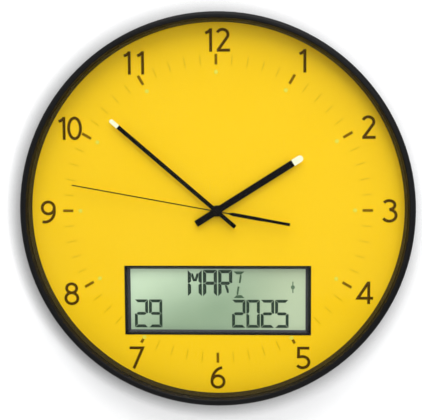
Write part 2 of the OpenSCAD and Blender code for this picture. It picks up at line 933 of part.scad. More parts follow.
module pocket_box(grow, z, t) {
    translate([-pocket_w / 2 - grow, hang_h - pocket_low - grow, z])
        cube([pocket_w + 2 * grow, pocket_low + pocket_high + 2 * grow, t]);
}

module rear_cover() {
    cover_r = skirt_in_r - play;
    rim_t = 1.6;
    rim_h = 5;
    collar_t = 1.6;
    collar_h = 11;
    collar_gap = 1.2;
    hole_w = mov_w + 2 * collar_gap;
    guide_t = 1.2;
    guide_h = button_flange_t + button_travel + 0.8;
    guide_r = button_flange_r + fit;
    cheek_w = 4;
    cheek_h = 6;
    bead_w = 1.6;
    bead_h = 0.8;
    bead_in = [6.1, 49.1];
    bay_out_w = bay_w + 2 * bay_wall;
    bay_out_h = bay_h + 2 * bay_wall;
    color([0.15, 0.15, 0.16])
        on_wall()
            difference() {
                union() {
                    up(cover_out)
                        cylinder(r = cover_r, h = cover_t, $fn = rim_fn);
                    up(cover_out)
                        ring(cover_r, cover_r - rim_t, cover_t + rim_h, $fn = rim_fn);
                    for (in = bead_in)
                        up(cover_out - bead_h)
                            ring(cover_r - in + bead_w, cover_r - in, bead_h + 0.5, $fn = rim_fn);
                    up(cover_out)
                        slab(hole_w + 2 * collar_t, hole_w + 2 * collar_t, cover_t + collar_h);
                    up(cover_out - bead_h)
                        slab(hole_w + 2 * collar_t, hole_w + 2 * collar_t, bead_h + 0.5);
                    pocket_box(pocket_wall, cover_out, cover_t + pocket_d + pocket_wall);
                    for (i = [0 : button_n - 1])
                        at_button(i)
                            up(cover_out)
                                cylinder(r = guide_r + guide_t, h = cover_t + guide_h, $fn = 48);
                    translate([bay_x, bay_y, cover_out])
                        slab(bay_out_w, bay_out_h, bay_floor + bay_floor_t - cover_out);
                    for (side = [-1, 1])
                        translate([bay_x + side * (door_w + 2 * play + cheek_w) / 2, hinge_y, cover_out])
                            slab(cheek_w, cheek_h, cheek_h);
                }
                up(cover_out - 2)
                    slab(hole_w, hole_w, collar_h + cover_t + 4);
                pocket_box(0, cover_out - 1, cover_t + pocket_d + 1);
                for (i = [0 : button_n - 1])
                    at_button(i) {
                        up(cover_out - 2)
                            cylinder(r = button_r + fit, h = 4 + cover_t, $fn = 48);
                        up(cover_inner)
                            cylinder(r = guide_r, h = guide_h + 1, $fn = 48);
                    }
                translate([bay_x, bay_y, cover_out - 2])
                    slab(door_w + 2 * play, door_h + 2 * play, door_t + 2);
                translate([bay_x, bay_y, cover_out - 1])
                    slab(bay_w, bay_h, bay_floor - cover_out + 1);
                translate([bay_x - door_w / 2 - hinge_pin_len - fit, hinge_y, hinge_z])
                    rotate([0, 90, 0])
                        cylinder(r = hinge_pin_r + arbor_play, h = door_w + 2 * hinge_pin_len + 2 * fit, $fn = 32);
                translate([bay_x - door_w / 2 - play, hinge_y, hinge_z])
                    rotate([0, 90, 0])
                        cylinder(r = hinge_r + play, h = door_w + 2 * play, $fn = 32);
                around(cover_screws_n, cover_screw_ring, 180 / cover_screws_n)
                    up(cover_out - 2)
                        cylinder(r = screw_r, h = cover_t + 4, $fn = 24);
                for (x = [-1, 1])
                    translate([x * hanger_screw_x, hang_h - hanger_screw_drop, cover_out - 1])
                        cylinder(r = pilot_r, h = cover_t + 2, $fn = 24);
            }
}

module cover_screws() {
    color([0.75, 0.75, 0.77])
        on_wall()
            around(cover_screws_n, cover_screw_ring, 180 / cover_screws_n)
                screw(cover_out, cover_t + cover_screw_bite);
}

module hanger_plate() {
    color([0.78, 0.79, 0.8])
        on_wall()
            difference() {
                translate([0, hang_h + (hanger_high - hanger_low) / 2, cover_out - hanger_t])
                    round_slab(hanger_w, hanger_low + hanger_high, hanger_t, 3);
                up(cover_out - hanger_t - 1)
                    keyhole(hanger_t + 2);
                for (x = [-1, 1])
                    translate([x * hanger_screw_x, hang_h - hanger_screw_drop, cover_out - hanger_t - 1])
                        cylinder(r = screw_r, h = hanger_t + 2, $fn = 24);
            }
}

module hanger_screws() {
    color([0.75, 0.75, 0.77])
        on_wall()
            for (x = [-1, 1])
                translate([x * hanger_screw_x, hang_h - hanger_screw_drop, 0])
                    screw(cover_out - hanger_t, hanger_t + cover_t);
}

// Rubber pads that keep the lower part of the case steady on the wall
module wall_bumpers() {
    color([0.08, 0.08, 0.08])
        on_wall()
            for (a = [225, 315])
                rotate(a)
                    translate([bumper_ring, 0, 0])
                        rotate_extrude($fn = 48)
                            polygon([
                                [0, 0], [bumper_r - 0.8, 0], [bumper_r, 0.8], [bumper_r, cover_out], [0, cover_out]
                            ]);
}

// Movement
// Front half: lid with the collar that the hands' pipes turn in
module movement_lid() {
    collar_bore = hour_pipe_r + arbor_play;
    color([0.85, 0.85, 0.82])
        on_wall()
            difference() {
                union() {
                    up(lid_back)
                        round_slab(mov_w, mov_w, lid_t, 2);
                    up(carrier_back - 0.2)
                        cylinder(r = collar_r, h = collar_top - carrier_back + 0.2, $fn = 64);
                }
                up(lid_back - 1)
                    cylinder(r = collar_bore, h = collar_top - lid_back + 2, $fn = 48);
            }
}

// Rear half: a tray with the train room, the open battery bay and the bearings of the train
module movement_case() {
    tray_h = lid_back - mov_back;
    room_bottom = mov_bay_top + mov_wall;
    room_w = mov_w - 2 * mov_wall;
    boss_r = 1.4;
    boss_top = second_lvl - 0.4;
    pillar_r = 1.6;
    pillar_in = mov_wall + 2;
    knob_hole = arbor_r + arbor_play;
    color([0.1, 0.1, 0.11])
        on_wall()
            difference() {
                union() {
                    difference() {
                        up(mov_back)
                            round_slab(mov_w, mov_w, tray_h, 2);
                        translate([-room_w / 2, room_bottom, mov_back + mov_wall])
                            cube([room_w, mov_w / 2 - mov_wall - room_bottom, tray_h]);
                        translate([-room_w / 2, -mov_w / 2 + mov_wall, mov_back - 1])
                            cube([room_w, mov_bay_top + mov_w / 2 - mov_wall, tray_h + 2]);
                    }
                    for (p = [[0, 0], third_at, step_at, rotor_at])
                        translate([p[0], p[1], mov_back + mov_wall - 0.2])
                            cylinder(r = boss_r, h = boss_top - mov_back - mov_wall + 0.2, $fn = 32);
                    for (x = [-1, 1], y = [room_bottom + 2, mov_w / 2 - pillar_in])
                        translate([x * (mov_w / 2 - pillar_in), y, mov_back])
                            cylinder(r = pillar_r, h = bridge_lvl - mov_back, $fn = 24);
                }
                up(mov_back + mov_wall - 0.3)
                    cylinder(r = second_r + arbor_play, h = 4, $fn = 32);
                for (p = [third_at, step_at, rotor_at])
                    translate([p[0], p[1], mov_back + mov_wall - 0.3])
                        cylinder(r = arbor_r + arbor_play, h = 4, $fn = 32);
                translate([motion_at[0], motion_at[1], mov_back - 1])
                    cylinder(r = knob_hole, h = mov_wall + 2, $fn = 32);
                for (a = [0 : 90 : 270])
                    rotate(a)
                        translate([mov_w / 2 - notch_d, -lug_w / 2 - fit, carrier_back - lug_h + 0.1])
                            cube([notch_d + 1, lug_w + 2 * fit, hook_run + hook_flat - 0.05]);
            }
}

// Middle plate: front bearing of the train, and the carrier of the stator
module train_bridge() {
    room_bottom = mov_bay_top + mov_wall;
    width = mov_w - 2 * mov_wall - 2 * fit;
    arm_w = 5;
    top = coil_y - coil_r - 1;
    color([0.9, 0.88, 0.8])
        on_wall()
            difference() {
                union() {
                    translate([-width / 2, room_bottom + fit, bridge_lvl])
                        cube([width, top - room_bottom - fit, bridge_t]);
                    for (x = [-1, 1])
                        translate([x * (width - arm_w) / 2 - arm_w / 2, top - 0.5, bridge_lvl])
                            cube([arm_w, mov_w / 2 - mov_wall - fit - top + 0.5, bridge_t]);
                }
                up(bridge_lvl - 1)
                    cylinder(r = minute_pipe_r + arbor_play, h = bridge_t + 2, $fn = 48);
                for (p = [third_at, step_at, rotor_at, motion_at])
                    translate([p[0], p[1], bridge_lvl - 1])
                        cylinder(r = arbor_r + arbor_play, h = bridge_t + 2, $fn = 32);
            }
}

// Soft iron plate round the rotor, with one arm to each end of the coil
module stator() {
    hub_r = 4.1;
    arm_top = coil_y - coil_r - 1;
    arm_low = rotor_at[1] + stator_bore - 0.6;
    core_end = core_len / 2;
    bend_x = coil_len / 2 + coil_flange + 0.5;
    color([0.6, 0.6, 0.62])
        on_wall()
            up(stator_lvl)
                difference() {
                    union() {
                        translate(rotor_at)
                            cylinder(r = hub_r, h = stator_t, $fn = 48);
                        translate([-core_end, arm_low, 0])
                            cube([2 * core_end, arm_top - arm_low, stator_t]);
                        for (s = [0, 1])
                            mirror([s, 0, 0])
                                translate([bend_x, arm_low, 0])
                                    cube([core_end - bend_x, coil_y + core_w / 2 - arm_low, stator_t]);
                    }
                    translate([rotor_at[0], rotor_at[1], -1])
                        cylinder(r = stator_bore, h = stator_t + 2, $fn = 48);
                }
}

// Bobbin and core in one: an iron strip with a flange at each end of the winding
module coil_bobbin() {
    flange_w = 2 * coil_r + 1;
    color([0.85, 0.85, 0.8])
        on_wall()
            translate([0, coil_y, core_lvl])
                union() {
                    slab(core_len, core_w, stator_t);
                    for (s = [-1, 1])
                        translate([s * (coil_len + coil_flange) / 2, 0, stator_t / 2 - flange_w / 2])
                            slab(coil_flange, flange_w, flange_w);
                }
}

module coil_winding() {
    color([0.7, 0.35, 0.15])
        on_wall()
            translate([0, coil_y, core_lvl + stator_t / 2])
                difference() {
                    rotate([0, 90, 0])
                        cylinder(r = coil_r, h = coil_len - 2 * press, center = true, $fn = 48);
                    up(-stator_t / 2 - press)
                        slab(coil_len + 2, core_w + 2 * press, stator_t + 2 * press);
                }
}

// An arbor along Z between two levels
module arbor(r, from, to) {
    up(from)
        cylinder(r = r, h = to - from, $fn = 32);
}

module at_point(p) {
    translate([p[0], p[1], 0])
        children();
}

module rotor() {
    color([0.35, 0.35, 0.38])
        on_wall()
            at_point(rotor_at)
                union() {
                    arbor(arbor_r, pivot_from, pivot_to);
                    up(step_lvl - 0.1)
                        pinion_teeth(m_rotor, rotor_pinion_n, gear_t + 0.3);
                    arbor(magnet_r, core_lvl, bridge_lvl - 0.2);
                }
}

module step_wheel() {
    color([0.93, 0.93, 0.9])
        on_wall()
            at_point(step_at)
                union() {
                    arbor(arbor_r, pivot_from, pivot_to);
                    up(step_lvl)
                        rotate(meshed(rotor_dir + 180, rotor_pinion_n, step_wheel_n))
                            wheel_teeth(m_rotor, step_wheel_n, gear_t);
                    up(second_lvl - 0.2)
                        pinion_teeth(m_step, step_pinion_n, step_lvl - second_lvl + 0.3);
                }
}

module second_wheel() {
    color([0.93, 0.93, 0.9])
        on_wall()
            union() {
                arbor(second_r, pivot_from, second_hand_z + second_hand_t + 0.5);
                up(second_lvl)
                    rotate(meshed(step_dir + 180, step_pinion_n, second_wheel_n))
                        difference() {
                            wheel_teeth(m_step, second_wheel_n, gear_t);
                            wheel_holes(1.9);
                        }
                up(second_lvl + gear_t - 0.1)
                    pinion_teeth(m_second, second_pinion_n, third_lvl - second_lvl + 0.3);
            }
}

module third_wheel() {
    color([0.93, 0.93, 0.9])
        on_wall()
            at_point(third_at)
                union() {
                    arbor(arbor_r, pivot_from, pivot_to);
                    up(third_lvl)
                        rotate(meshed(third_dir, second_pinion_n, third_wheel_n))
                            difference() {
                                wheel_teeth(m_second, third_wheel_n, gear_t);
                                wheel_holes(1.9);
                            }
                    up(third_lvl + gear_t - 0.1)
                        pinion_teeth(m_third, third_pinion_n, minute_lvl - third_lvl + 0.3);
                }
}

// Centre wheel with the pipe of the minute hand and the cannon pinion
module minute_wheel() {
    color([0.93, 0.93, 0.9])
        on_wall()
            difference() {
                union() {
                    up(minute_lvl)
                        rotate(meshed(third_dir + 180, third_pinion_n, minute_wheel_n))
                            difference() {
                                wheel_teeth(m_third, minute_wheel_n, gear_t);
                                wheel_holes(1.9);
                            }
                    arbor(minute_pipe_r, minute_lvl, minute_hand_z + hand_t + 0.4);
                    up(cannon_lvl - 0.2)
                        pinion_teeth(m_cannon, cannon_n, gear_t + 0.4);
                }
                up(minute_lvl - 1)
                    cylinder(r = second_r + arbor_play, h = minute_hand_z + hand_t + 3 - minute_lvl, $fn = 32);
            }
}

module motion_wheel() {
    color([0.93, 0.93, 0.9])
        on_wall()
            at_point(motion_at)
                union() {
                    arbor(arbor_r, mov_back - 1.2, lid_back - 0.15);
                    up(cannon_lvl)
                        rotate(meshed(motion_dir, cannon_n, motion_wheel_n))
                            wheel_teeth(m_cannon, motion_wheel_n, gear_t);
                    up(cannon_lvl + gear_t - 0.1)
                        pinion_teeth(m_motion, motion_pinion_n, hour_lvl - cannon_lvl + 0.2);
                }
}

module hour_wheel() {
    color([0.93, 0.93, 0.9])
        on_wall()
            difference() {
                union() {
                    up(hour_lvl)
                        rotate(meshed(motion_dir + 180, motion_pinion_n, hour_wheel_n))
                            difference() {
                                wheel_teeth(m_motion, hour_wheel_n, gear_t);
                                wheel_holes(1.4);
                            }
                    arbor(hour_pipe_r, hour_lvl, hour_hand_z + hand_t + 0.3);
                }
                up(hour_lvl - 1)
                    cylinder(r = minute_pipe_r + arbor_play, h = hour_hand_z + hand_t + 3 - hour_lvl, $fn = 48);
            }
}

// Ridged knob on the back, pressed on the motion wheel's arbor
module setting_knob() {
    knob_t = 2.4;
    ridge_n = 24;
    knob_top = mov_back - 0.3;
    color([0.92, 0.92, 0.9])
        on_wall()
            at_point(motion_at)
                difference() {
                    union() {
                        up(knob_top - knob_t)
                            cylinder(r = knob_r - 0.4, h = knob_t, $fn = 48);
                        around(ridge_n, knob_r - 0.6)
                            up(knob_top - knob_t)
                                translate([0, -0.35, 0])
                                    cube([0.6, 0.7, knob_t]);
                    }
                    up(mov_back - 1.3)
                        cylinder(r = arbor_r + press, h = 3, $fn = 32);
                }
}

// Movement board with its sealed chip
module movement_board() {
    chip_r = 3;
    chip_t = 1;
    board_lvl = mov_back + mov_wall;
    right = mov_w / 2 - mov_wall - fit;
    color([0.1, 0.4, 0.2])
        on_wall()
            union() {
                translate([mov_board_left, mov_board_low, board_lvl])
                    cube([right - mov_board_left, mov_board_h, mov_board_t]);
                translate([mov_board_left + 7, 0, board_lvl + mov_board_t - 0.1])
                    cylinder(r = chip_r, h = chip_t, $fn = 32);
            }
}

module quartz_crystal() {
    color([0.8, 0.8, 0.82])
        on_wall()
            translate([mov_board_left + 4, 9, mov_back + mov_wall + mov_board_t + crystal_r])
                crystal_can(crystal_r, crystal_len);
}

module movement_cell() {
    color([0.2, 0.35, 0.25])
        on_wall()
            translate([-cell_total / 2 - 1.2, mov_cell_y, mov_cell_z])
                rotate([0, 90, 0])
                    cell();
}

// Two folded strips at the ends of the cell: a flat one and a springy one
module movement_contacts() {
    strip = 8;
    room = mov_w / 2 - mov_wall;
    tip_x = cell_total / 2 - 1.2;
    flat_x = -cell_total / 2 - 1.2;
    color([0.82, 0.82, 0.84])
        on_wall()
            translate([0, mov_cell_y, mov_cell_z]) {
                translate([tip_x + 0.02, -strip / 2, -strip / 2])
                    cube([tab_t, strip, strip]);
                translate([room - tab_t - 0.02, -strip / 2, -strip / 2])
                    cube([tab_t, strip, strip]);
                translate([tip_x + 0.02, -strip / 2, strip / 2 - tab_t])
                    cube([room - tip_x - 0.04, strip, tab_t]);
                translate([-room + 0.02, -strip / 2, -strip / 2])
                    cube([flat_x + room - 0.04, strip, tab_t]);
                translate([flat_x - tab_t - 0.02, -strip / 2, -strip / 2])
                    cube([tab_t, strip, strip]);
            }
}

// Hands
module clock_hand(turn) {
    rotate(90 - turn)
        children();
}

// Flat hand: a bar with a boss, a tail with soft corners, and the pipe hole
module bar_hand(reach, tail, width, boss_r, bore, z) {
    corner = 0.6;
    up(z)
        difference() {
            union() {
                cylinder(r = boss_r, h = hand_t, $fn = 48);
                translate([-tail + corner, -width / 2, 0])
                    cube([reach + tail - corner, width, hand_t]);
                translate([-tail, -width / 2 + corner, 0])
                    cube([2 * corner, width - 2 * corner, hand_t]);
                for (s = [-1, 1])
                    translate([-tail + corner, s * (width / 2 - corner), 0])
                        cylinder(r = corner, h = hand_t, $fn = 16);
            }
            up(-1)
                cylinder(r = bore + press, h = hand_t + 2, $fn = 48);
        }
}

// Luminous end that carries the hand on to its round tip
module lume_tip(from, to, width, z) {
    up(z)
        union() {
            translate([from, -width / 2, 0])
                cube([to - from - width / 2, width, hand_t]);
            translate([to - width / 2, 0, 0])
                cylinder(r = width / 2, h = hand_t, $fn = 32);
        }
}

module hour_hand() {
    color([0.07, 0.07, 0.07])
        on_wall()
            clock_hand(hour_turn)
                bar_hand(hour_len - hour_lume_len, hand_tail, hour_w, hour_boss_r, hour_pipe_r, hour_hand_z);
}

module hour_tip() {
    color([0.93, 0.96, 0.85])
        on_wall()
            clock_hand(hour_turn)
                lume_tip(hour_len - hour_lume_len, hour_len, hour_w, hour_hand_z);
}

module minute_hand() {
    color([0.07, 0.07, 0.07])
        on_wall()
            clock_hand(minute_turn)
                bar_hand(
                    minute_len - minute_lume_len, hand_tail, minute_w, minute_boss_r, minute_pipe_r, minute_hand_z
                );
}

module minute_tip() {
    color([0.93, 0.96, 0.85])
        on_wall()
            clock_hand(minute_turn)
                lume_tip(minute_len - minute_lume_len, minute_len, minute_w, minute_hand_z);
}

module second_hand() {
    eye_r = 2.2;
    shoulder = 4;
    waist = second_tail * 0.58;
    side = [
        [second_len, second_line_w / 2], [-second_bar_from, second_line_w / 2],
        [-second_bar_from - shoulder, second_bar_w / 2], [-waist, second_bar_w / 2],
        [-waist - shoulder, second_bar_end_w / 2], [-second_tail, second_bar_end_w / 2]
    ];
    color([0.07, 0.07, 0.07])
        on_wall()
            clock_hand(second_turn)
                up(second_hand_z)
                    difference() {
                        linear_extrude(second_hand_t)
                            union() {
                                circle(eye_r, $fn = 32);
                                polygon(concat(side, [for (i = [len(side) - 1 : -1 : 0]) [side[i][0], -side[i][1]]]));
                            }
                        up(-1)
                            cylinder(r = 1 + press, h = 3, $fn = 32);
                    }
}

// Turned bush that holds the second hand on its arbor, with a cap in front of it
module second_boss() {
    cap_r = 3.2;
    cap_h = 0.8;
    bush_r = 1;
    bush_below = 0.35;
    front = second_hand_z + second_hand_t;
    color([0.07, 0.07, 0.07])
        on_wall()
            rotate_extrude($fn = 48)
                polygon([
                    [second_r + press, second_hand_z - bush_below], [bush_r, second_hand_z - bush_below],
                    [bush_r, front + press], [cap_r, front + press], [cap_r - 0.3, front + cap_h],
                    [0, front + cap_h + 0.2], [0, front + cap_h - 0.2], [second_r + press, front + cap_h - 0.2]
                ]);
}

front_frame();
lens();
dial_ring();
dial_plate();
dial_carrier();
window_frame();
lcd_glass();
lcd_reflector();
contact_strips();
lcd_board();
lcd_chip();
board_capacitors();
calendar_crystal();
board_screws();
tact_switches();
button_mode();
button_set();
button_up();
button_down();
battery_door();
battery_cells();
battery_springs();
battery_tabs();
battery_leads();
rear_cover();
cover_screws();
hanger_plate();
hanger_screws();
wall_bumpers();
movement_lid();
movement_case();
train_bridge();
stator();
coil_bobbin();
coil_winding();
rotor();
step_wheel();
second_wheel();
third_wheel();
minute_wheel();
motion_wheel();
hour_wheel();
setting_knob();
movement_board();
quartz_crystal();
movement_cell();
movement_contacts();
hour_hand();
hour_tip();
minute_hand();
minute_tip();
second_hand();
second_boss();
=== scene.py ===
# Wall clock with calendar: the looks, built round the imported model, which stays as it is.
# The clock hangs in the XZ plane with its hanging point at the origin and faces -Y. Lengths are metres.
import math

import bmesh
import bpy
from mathutils import Matrix, Vector
from mathutils.geometry import delaunay_2d_cdt


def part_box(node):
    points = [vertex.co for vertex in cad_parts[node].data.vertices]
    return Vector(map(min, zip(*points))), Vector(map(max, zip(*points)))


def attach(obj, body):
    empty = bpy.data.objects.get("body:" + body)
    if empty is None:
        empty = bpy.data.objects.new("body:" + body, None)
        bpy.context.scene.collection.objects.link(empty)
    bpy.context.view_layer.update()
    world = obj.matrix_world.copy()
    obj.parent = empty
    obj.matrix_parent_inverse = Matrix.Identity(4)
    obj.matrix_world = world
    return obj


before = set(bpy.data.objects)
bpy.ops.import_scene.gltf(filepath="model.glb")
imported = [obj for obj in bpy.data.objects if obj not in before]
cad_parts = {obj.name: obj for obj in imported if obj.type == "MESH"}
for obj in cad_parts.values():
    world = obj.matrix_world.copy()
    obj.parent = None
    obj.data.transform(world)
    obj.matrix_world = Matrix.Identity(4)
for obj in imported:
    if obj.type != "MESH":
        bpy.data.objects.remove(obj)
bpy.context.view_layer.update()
scene = bpy.context.scene
mm = 0.001


# Camera
# The photograph was taken a little from the right and from above the clock's middle, hardly tilted. The
# lens axis misses the middle of the 422 by 420 pixel picture, which the shift allows for.
image_w = 422
image_h = 420
axis_px = (216.9, 210.6)
focal_px = 1038.8
camera_turn = math.radians(3)
camera_rise = math.radians(5.81)
camera_tilt = math.radians(-0.38)
camera_distance = 0.8

dial_low, dial_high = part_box("dial_plate")
dial_front = -dial_low.y
arbor_z = (dial_low.z + dial_high.z) / 2

back = Vector((
    math.sin(camera_turn) * math.cos(camera_rise),
    -math.cos(camera_turn) * math.cos(camera_rise),
    math.sin(camera_rise),
))
level_right = Vector((0, 0, 1)).cross(back).normalized()
level_up = back.cross(level_right)
right = level_right * math.cos(camera_tilt) + level_up * math.sin(camera_tilt)
up = level_up * math.cos(camera_tilt) - level_right * math.sin(camera_tilt)
camera = bpy.data.objects.new("photo_camera", bpy.data.cameras.new("photo_camera"))
camera.matrix_world = Matrix((
    (right.x, up.x, back.x, camera_distance * back.x),
    (right.y, up.y, back.y, camera_distance * back.y - dial_front),
    (right.z, up.z, back.z, camera_distance * back.z + arbor_z),
    (0, 0, 0, 1),
))
camera.data.lens = focal_px * camera.data.sensor_width / image_w
camera.data.shift_x = (image_w / 2 - axis_px[0]) / image_w
camera.data.shift_y = (axis_px[1] - image_h / 2) / image_w
camera.data.clip_start = 0.01
scene.collection.objects.link(camera)
scene.camera = camera
scene.view_settings.view_transform = "Standard"


# Wall, floor and light
# A white painted wall carries the clock and takes its shadow, and a pale floor lies well below. A soft
# lamp stands in front on the right, a larger one high above, and two weak ones light the back. The room
# is bright all round.
class Wire:
    """A socket for Python expressions: each operator adds the Math node that it stands for."""

    def __init__(self, nodes, socket):
        self.nodes = nodes
        self.socket = socket

    def maths(self, operation, *others):
        return self.nodes.maths(operation, self, *others)

    def __add__(self, other):
        return self.maths("ADD", other)

    def __sub__(self, other):
        return self.maths("SUBTRACT", other)

    def __rsub__(self, other):
        return self.nodes.maths("SUBTRACT", other, self)

    def __mul__(self, other):
        return self.maths("MULTIPLY", other)

    def __truediv__(self, other):
        return self.maths("DIVIDE", other)

    def __gt__(self, other):
        return self.maths("GREATER_THAN", other)

    def __abs__(self):
        return self.maths("ABSOLUTE")

    __radd__ = __add__
    __rmul__ = __mul__


class Nodes:
    """A node tree, to which each piece's finish or pattern adds its own nodes."""

    def __init__(self, tree):
        self.tree = tree
        self.tree.nodes.clear()

    def node(self, kind, settings=None, sockets=None, out=0):
        made = self.tree.nodes.new(kind)
        for name, value in (settings or {}).items():
            setattr(made, name, value)
        for key, value in (sockets or {}).items():
            if isinstance(value, Wire):
                self.tree.links.new(value.socket, made.inputs[key])
            else:
                made.inputs[key].default_value = value
        return Wire(self, made.outputs[out]) if made.outputs else None

    def maths(self, operation, *values):
        return self.node("ShaderNodeMath", {"operation": operation}, dict(enumerate(values)))


class Finish(Nodes):
    """A material, with the few patterns that the clock's pieces share."""

    def __init__(self, name):
        self.material = bpy.data.materials.new(name)
        self.material.use_nodes = True
        super().__init__(self.material.node_tree)
        self.place = self.node("ShaderNodeTexCoord", out="Object")

    def along(self, axis):
        """The place along one axis, in metres."""
        return self.node("ShaderNodeSeparateXYZ", {}, {0: self.place}, "XYZ"[axis])

    def cloud(self, size, stretch=(1, 1, 1), detail=3):
        """Soft noise from 0 to 1, in blotches of about that size, longer where stretch is above 1."""
        scale = tuple(1 / (size * s) for s in stretch)
        place = self.node("ShaderNodeMapping", {}, {"Vector": self.place, "Scale": scale})
        return self.node("ShaderNodeTexNoise", {}, {"Vector": place, "Scale": 1.0, "Detail": detail})

    def step(self, value, low, high):
        """0 below low, 1 above high, and smooth between."""
        sockets = {"Value": value, "From Min": low, "From Max": high}
        return self.node("ShaderNodeMapRange", {"interpolation_type": "SMOOTHSTEP"}, sockets)

    def blend(self, mask, first, second):
        """The first colour where mask is 0, and the second where it is 1."""
        return self.node("ShaderNodeMix", {"data_type": "RGBA"}, {0: mask, 6: first, 7: second}, 2)

    def bump(self, height, depth):
        return self.node("ShaderNodeBump", {}, {"Height": height, "Distance": depth, "Strength": 1.0})

    def output(self, shader):
        self.node("ShaderNodeOutputMaterial", {}, {"Surface": shader})
        return self

    def principled(self, **sockets):
        named = {key.replace("_", " "): value for key, value in sockets.items()}
        return self.output(self.node("ShaderNodeBsdfPrincipled", {}, named))


def paint(red, green, blue):
    """A colour as its 8 bit screen values, made linear for a socket."""
    shares = [c / 255 for c in (red, green, blue)]
    return tuple(s / 12.92 if s <= 0.04045 else ((s + 0.055) / 1.055) ** 2.4 for s in shares) + (1,)


# The lift of the two paints, the reach and depth of the painted shade round the case, and where the
# light comes from that this painted shade leans away from: how far it leans from straight ahead, and how
# far to the right of straight up
wall_lift = 0.3
floor_lift = 0.7
painted_shade_reach = 24 * mm
painted_shade_depth = 2.1
light_lean = math.radians(31)
light_side = math.radians(48)


def painted_wall(name, lift_share, one_sided):
    """White emulsion, lifted a touch for the camera, with shade painted darker round the case, most on
    the side away from the light. One sided paint shows from its front only."""
    wall = Finish(name)
    is_camera = wall.node("ShaderNodeLightPath", out="Is Camera Ray")
    tone = wall.blend(wall.cloud(0.3), (0.89, 0.89, 0.89, 1), (0.91, 0.91, 0.91, 1))
    # Painted shade: ambient occlusion, leant away from the light, darkens the paint's colour near the
    # case
    towards_light = wall.node("ShaderNodeCombineXYZ", {}, {
        "X": math.sin(light_lean) * math.sin(light_side),
        "Y": -math.cos(light_lean),
        "Z": math.sin(light_lean) * math.cos(light_side),
    })
    reach = {"Distance": painted_shade_reach, "Normal": towards_light}
    openness = wall.node("ShaderNodeAmbientOcclusion", {"samples": 16}, reach, "AO")
    painted_shade_tone = wall.blend(openness.maths("POWER", painted_shade_depth), (0, 0, 0, 1), tone)
    shaded = wall.node("ShaderNodeBsdfDiffuse", {}, {"Color": painted_shade_tone})
    lift = wall.node("ShaderNodeEmission", {}, {"Color": painted_shade_tone, "Strength": lift_share})
    lit = wall.node("ShaderNodeAddShader", {}, {0: shaded, 1: lift})
    if one_sided:
        from_behind = wall.node("ShaderNodeNewGeometry", out="Backfacing")
        shown = is_camera * (1 - from_behind)
        otherwise = wall.node("ShaderNodeBsdfTransparent")
    else:
        shown = is_camera
        otherwise = wall.node("ShaderNodeBsdfDiffuse", {}, {"Color": tone})
    return wall.output(wall.node("ShaderNodeMixShader", {}, {0: shown, 1: otherwise, 2: lit}))


def stage_plane(name, centre, across, along, finish):
    """A flat stage piece spanned by two half edges."""
    mesh = bpy.data.meshes.new(name)
    round_the_edge = ((-1, -1), (1, -1), (1, 1), (-1, 1))
    corners = [centre + a * across + b * along for a, b in round_the_edge]
    mesh.from_pydata(corners, [], [(0, 1, 2, 3)])
    mesh.materials.append(finish.material)
    plane = bpy.data.objects.new(name, mesh)
    scene.collection.objects.link(plane)


wall_gap = 0.3 * mm
wall_middle = Vector((0, wall_gap, 0.7))
wall_across = Vector((3, 0, 0))
wall_up = Vector((0, 0, 2))
floor_middle = Vector((0, -2, -1.3))
floor_across = Vector((4, 0, 0))
floor_along = Vector((0, 4, 0))
wall_paint = painted_wall("wall_paint", wall_lift, one_sided=True)
floor_paint = painted_wall("floor_paint", floor_lift, one_sided=False)
stage_plane("wall", wall_middle, wall_across, wall_up, wall_paint)
stage_plane("floor", floor_middle, floor_across, floor_along, floor_paint)


dial_middle = Vector((0, -dial_front, arbor_z))


def area_lamp(name, place, size, power, spread=180):
    """A round lamp that faces the dial."""
    lamp = bpy.data.objects.new(name, bpy.data.lights.new(name, "AREA"))
    lamp.data.shape = "DISK"
    lamp.data.size = size
    lamp.data.energy = power
    lamp.data.spread = math.radians(spread)
    lamp.location = place
    lamp.rotation_euler = (dial_middle - Vector(place)).to_track_quat("-Z", "Y").to_euler()
    scene.collection.objects.link(lamp)
    return lamp


area_lamp("key", (0.75, -2.3, 0.65), 1.6, 16.5)
area_lamp("above", (0.1, -1.35, 2.35), 2.9, 98)
behind_left = area_lamp("behind_left", (-0.9, 1.5, 0.6), 0.9, 1.9, spread=50)
behind_right = area_lamp("behind_right", (1.1, 1.4, 0.1), 0.9, 1.1, spread=50)
behind_left.visible_glossy = False
behind_right.visible_glossy = False

room = bpy.data.worlds.new("room")
room.use_nodes = True
scene.world = room
air = Nodes(room.node_tree)
seeing_rays = ("Is Camera Ray", "Is Glossy Ray", "Is Transmission Ray")
seen = [air.node("ShaderNodeLightPath", out=ray) for ray in seeing_rays]
room_light = air.node("ShaderNodeBackground", {}, {"Color": (0.97, 0.98, 1, 1), "Strength": 0.33})
room_white = air.node("ShaderNodeBackground", {}, {"Color": (1, 1, 1, 1), "Strength": 1.0})
seen_any = seen[0].maths("MAXIMUM", seen[1]).maths("MAXIMUM", seen[2])
room_mix = air.node("ShaderNodeMixShader", {}, {0: seen_any, 1: room_light, 2: room_white})
air.node("ShaderNodeOutputWorld", {}, {"Surface": room_mix})


# Movement housing
# The quartz movement is a closed box of black moulded plastic: a rear tray, a front lid with the collar
# that the hands' arbors pass, and an off-white middle plate that carries the front pivots. The halves
# snap together.
def dress(finish, *names):
    """Gives CAD nodes their finish."""
    for name in names:
        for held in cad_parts[name].material_slots:
            held.material = finish.material


def toned(colour, share):
    """A colour made darker, or lighter where share is above 1."""
    return tuple(c * share for c in colour[:3]) + (1,)


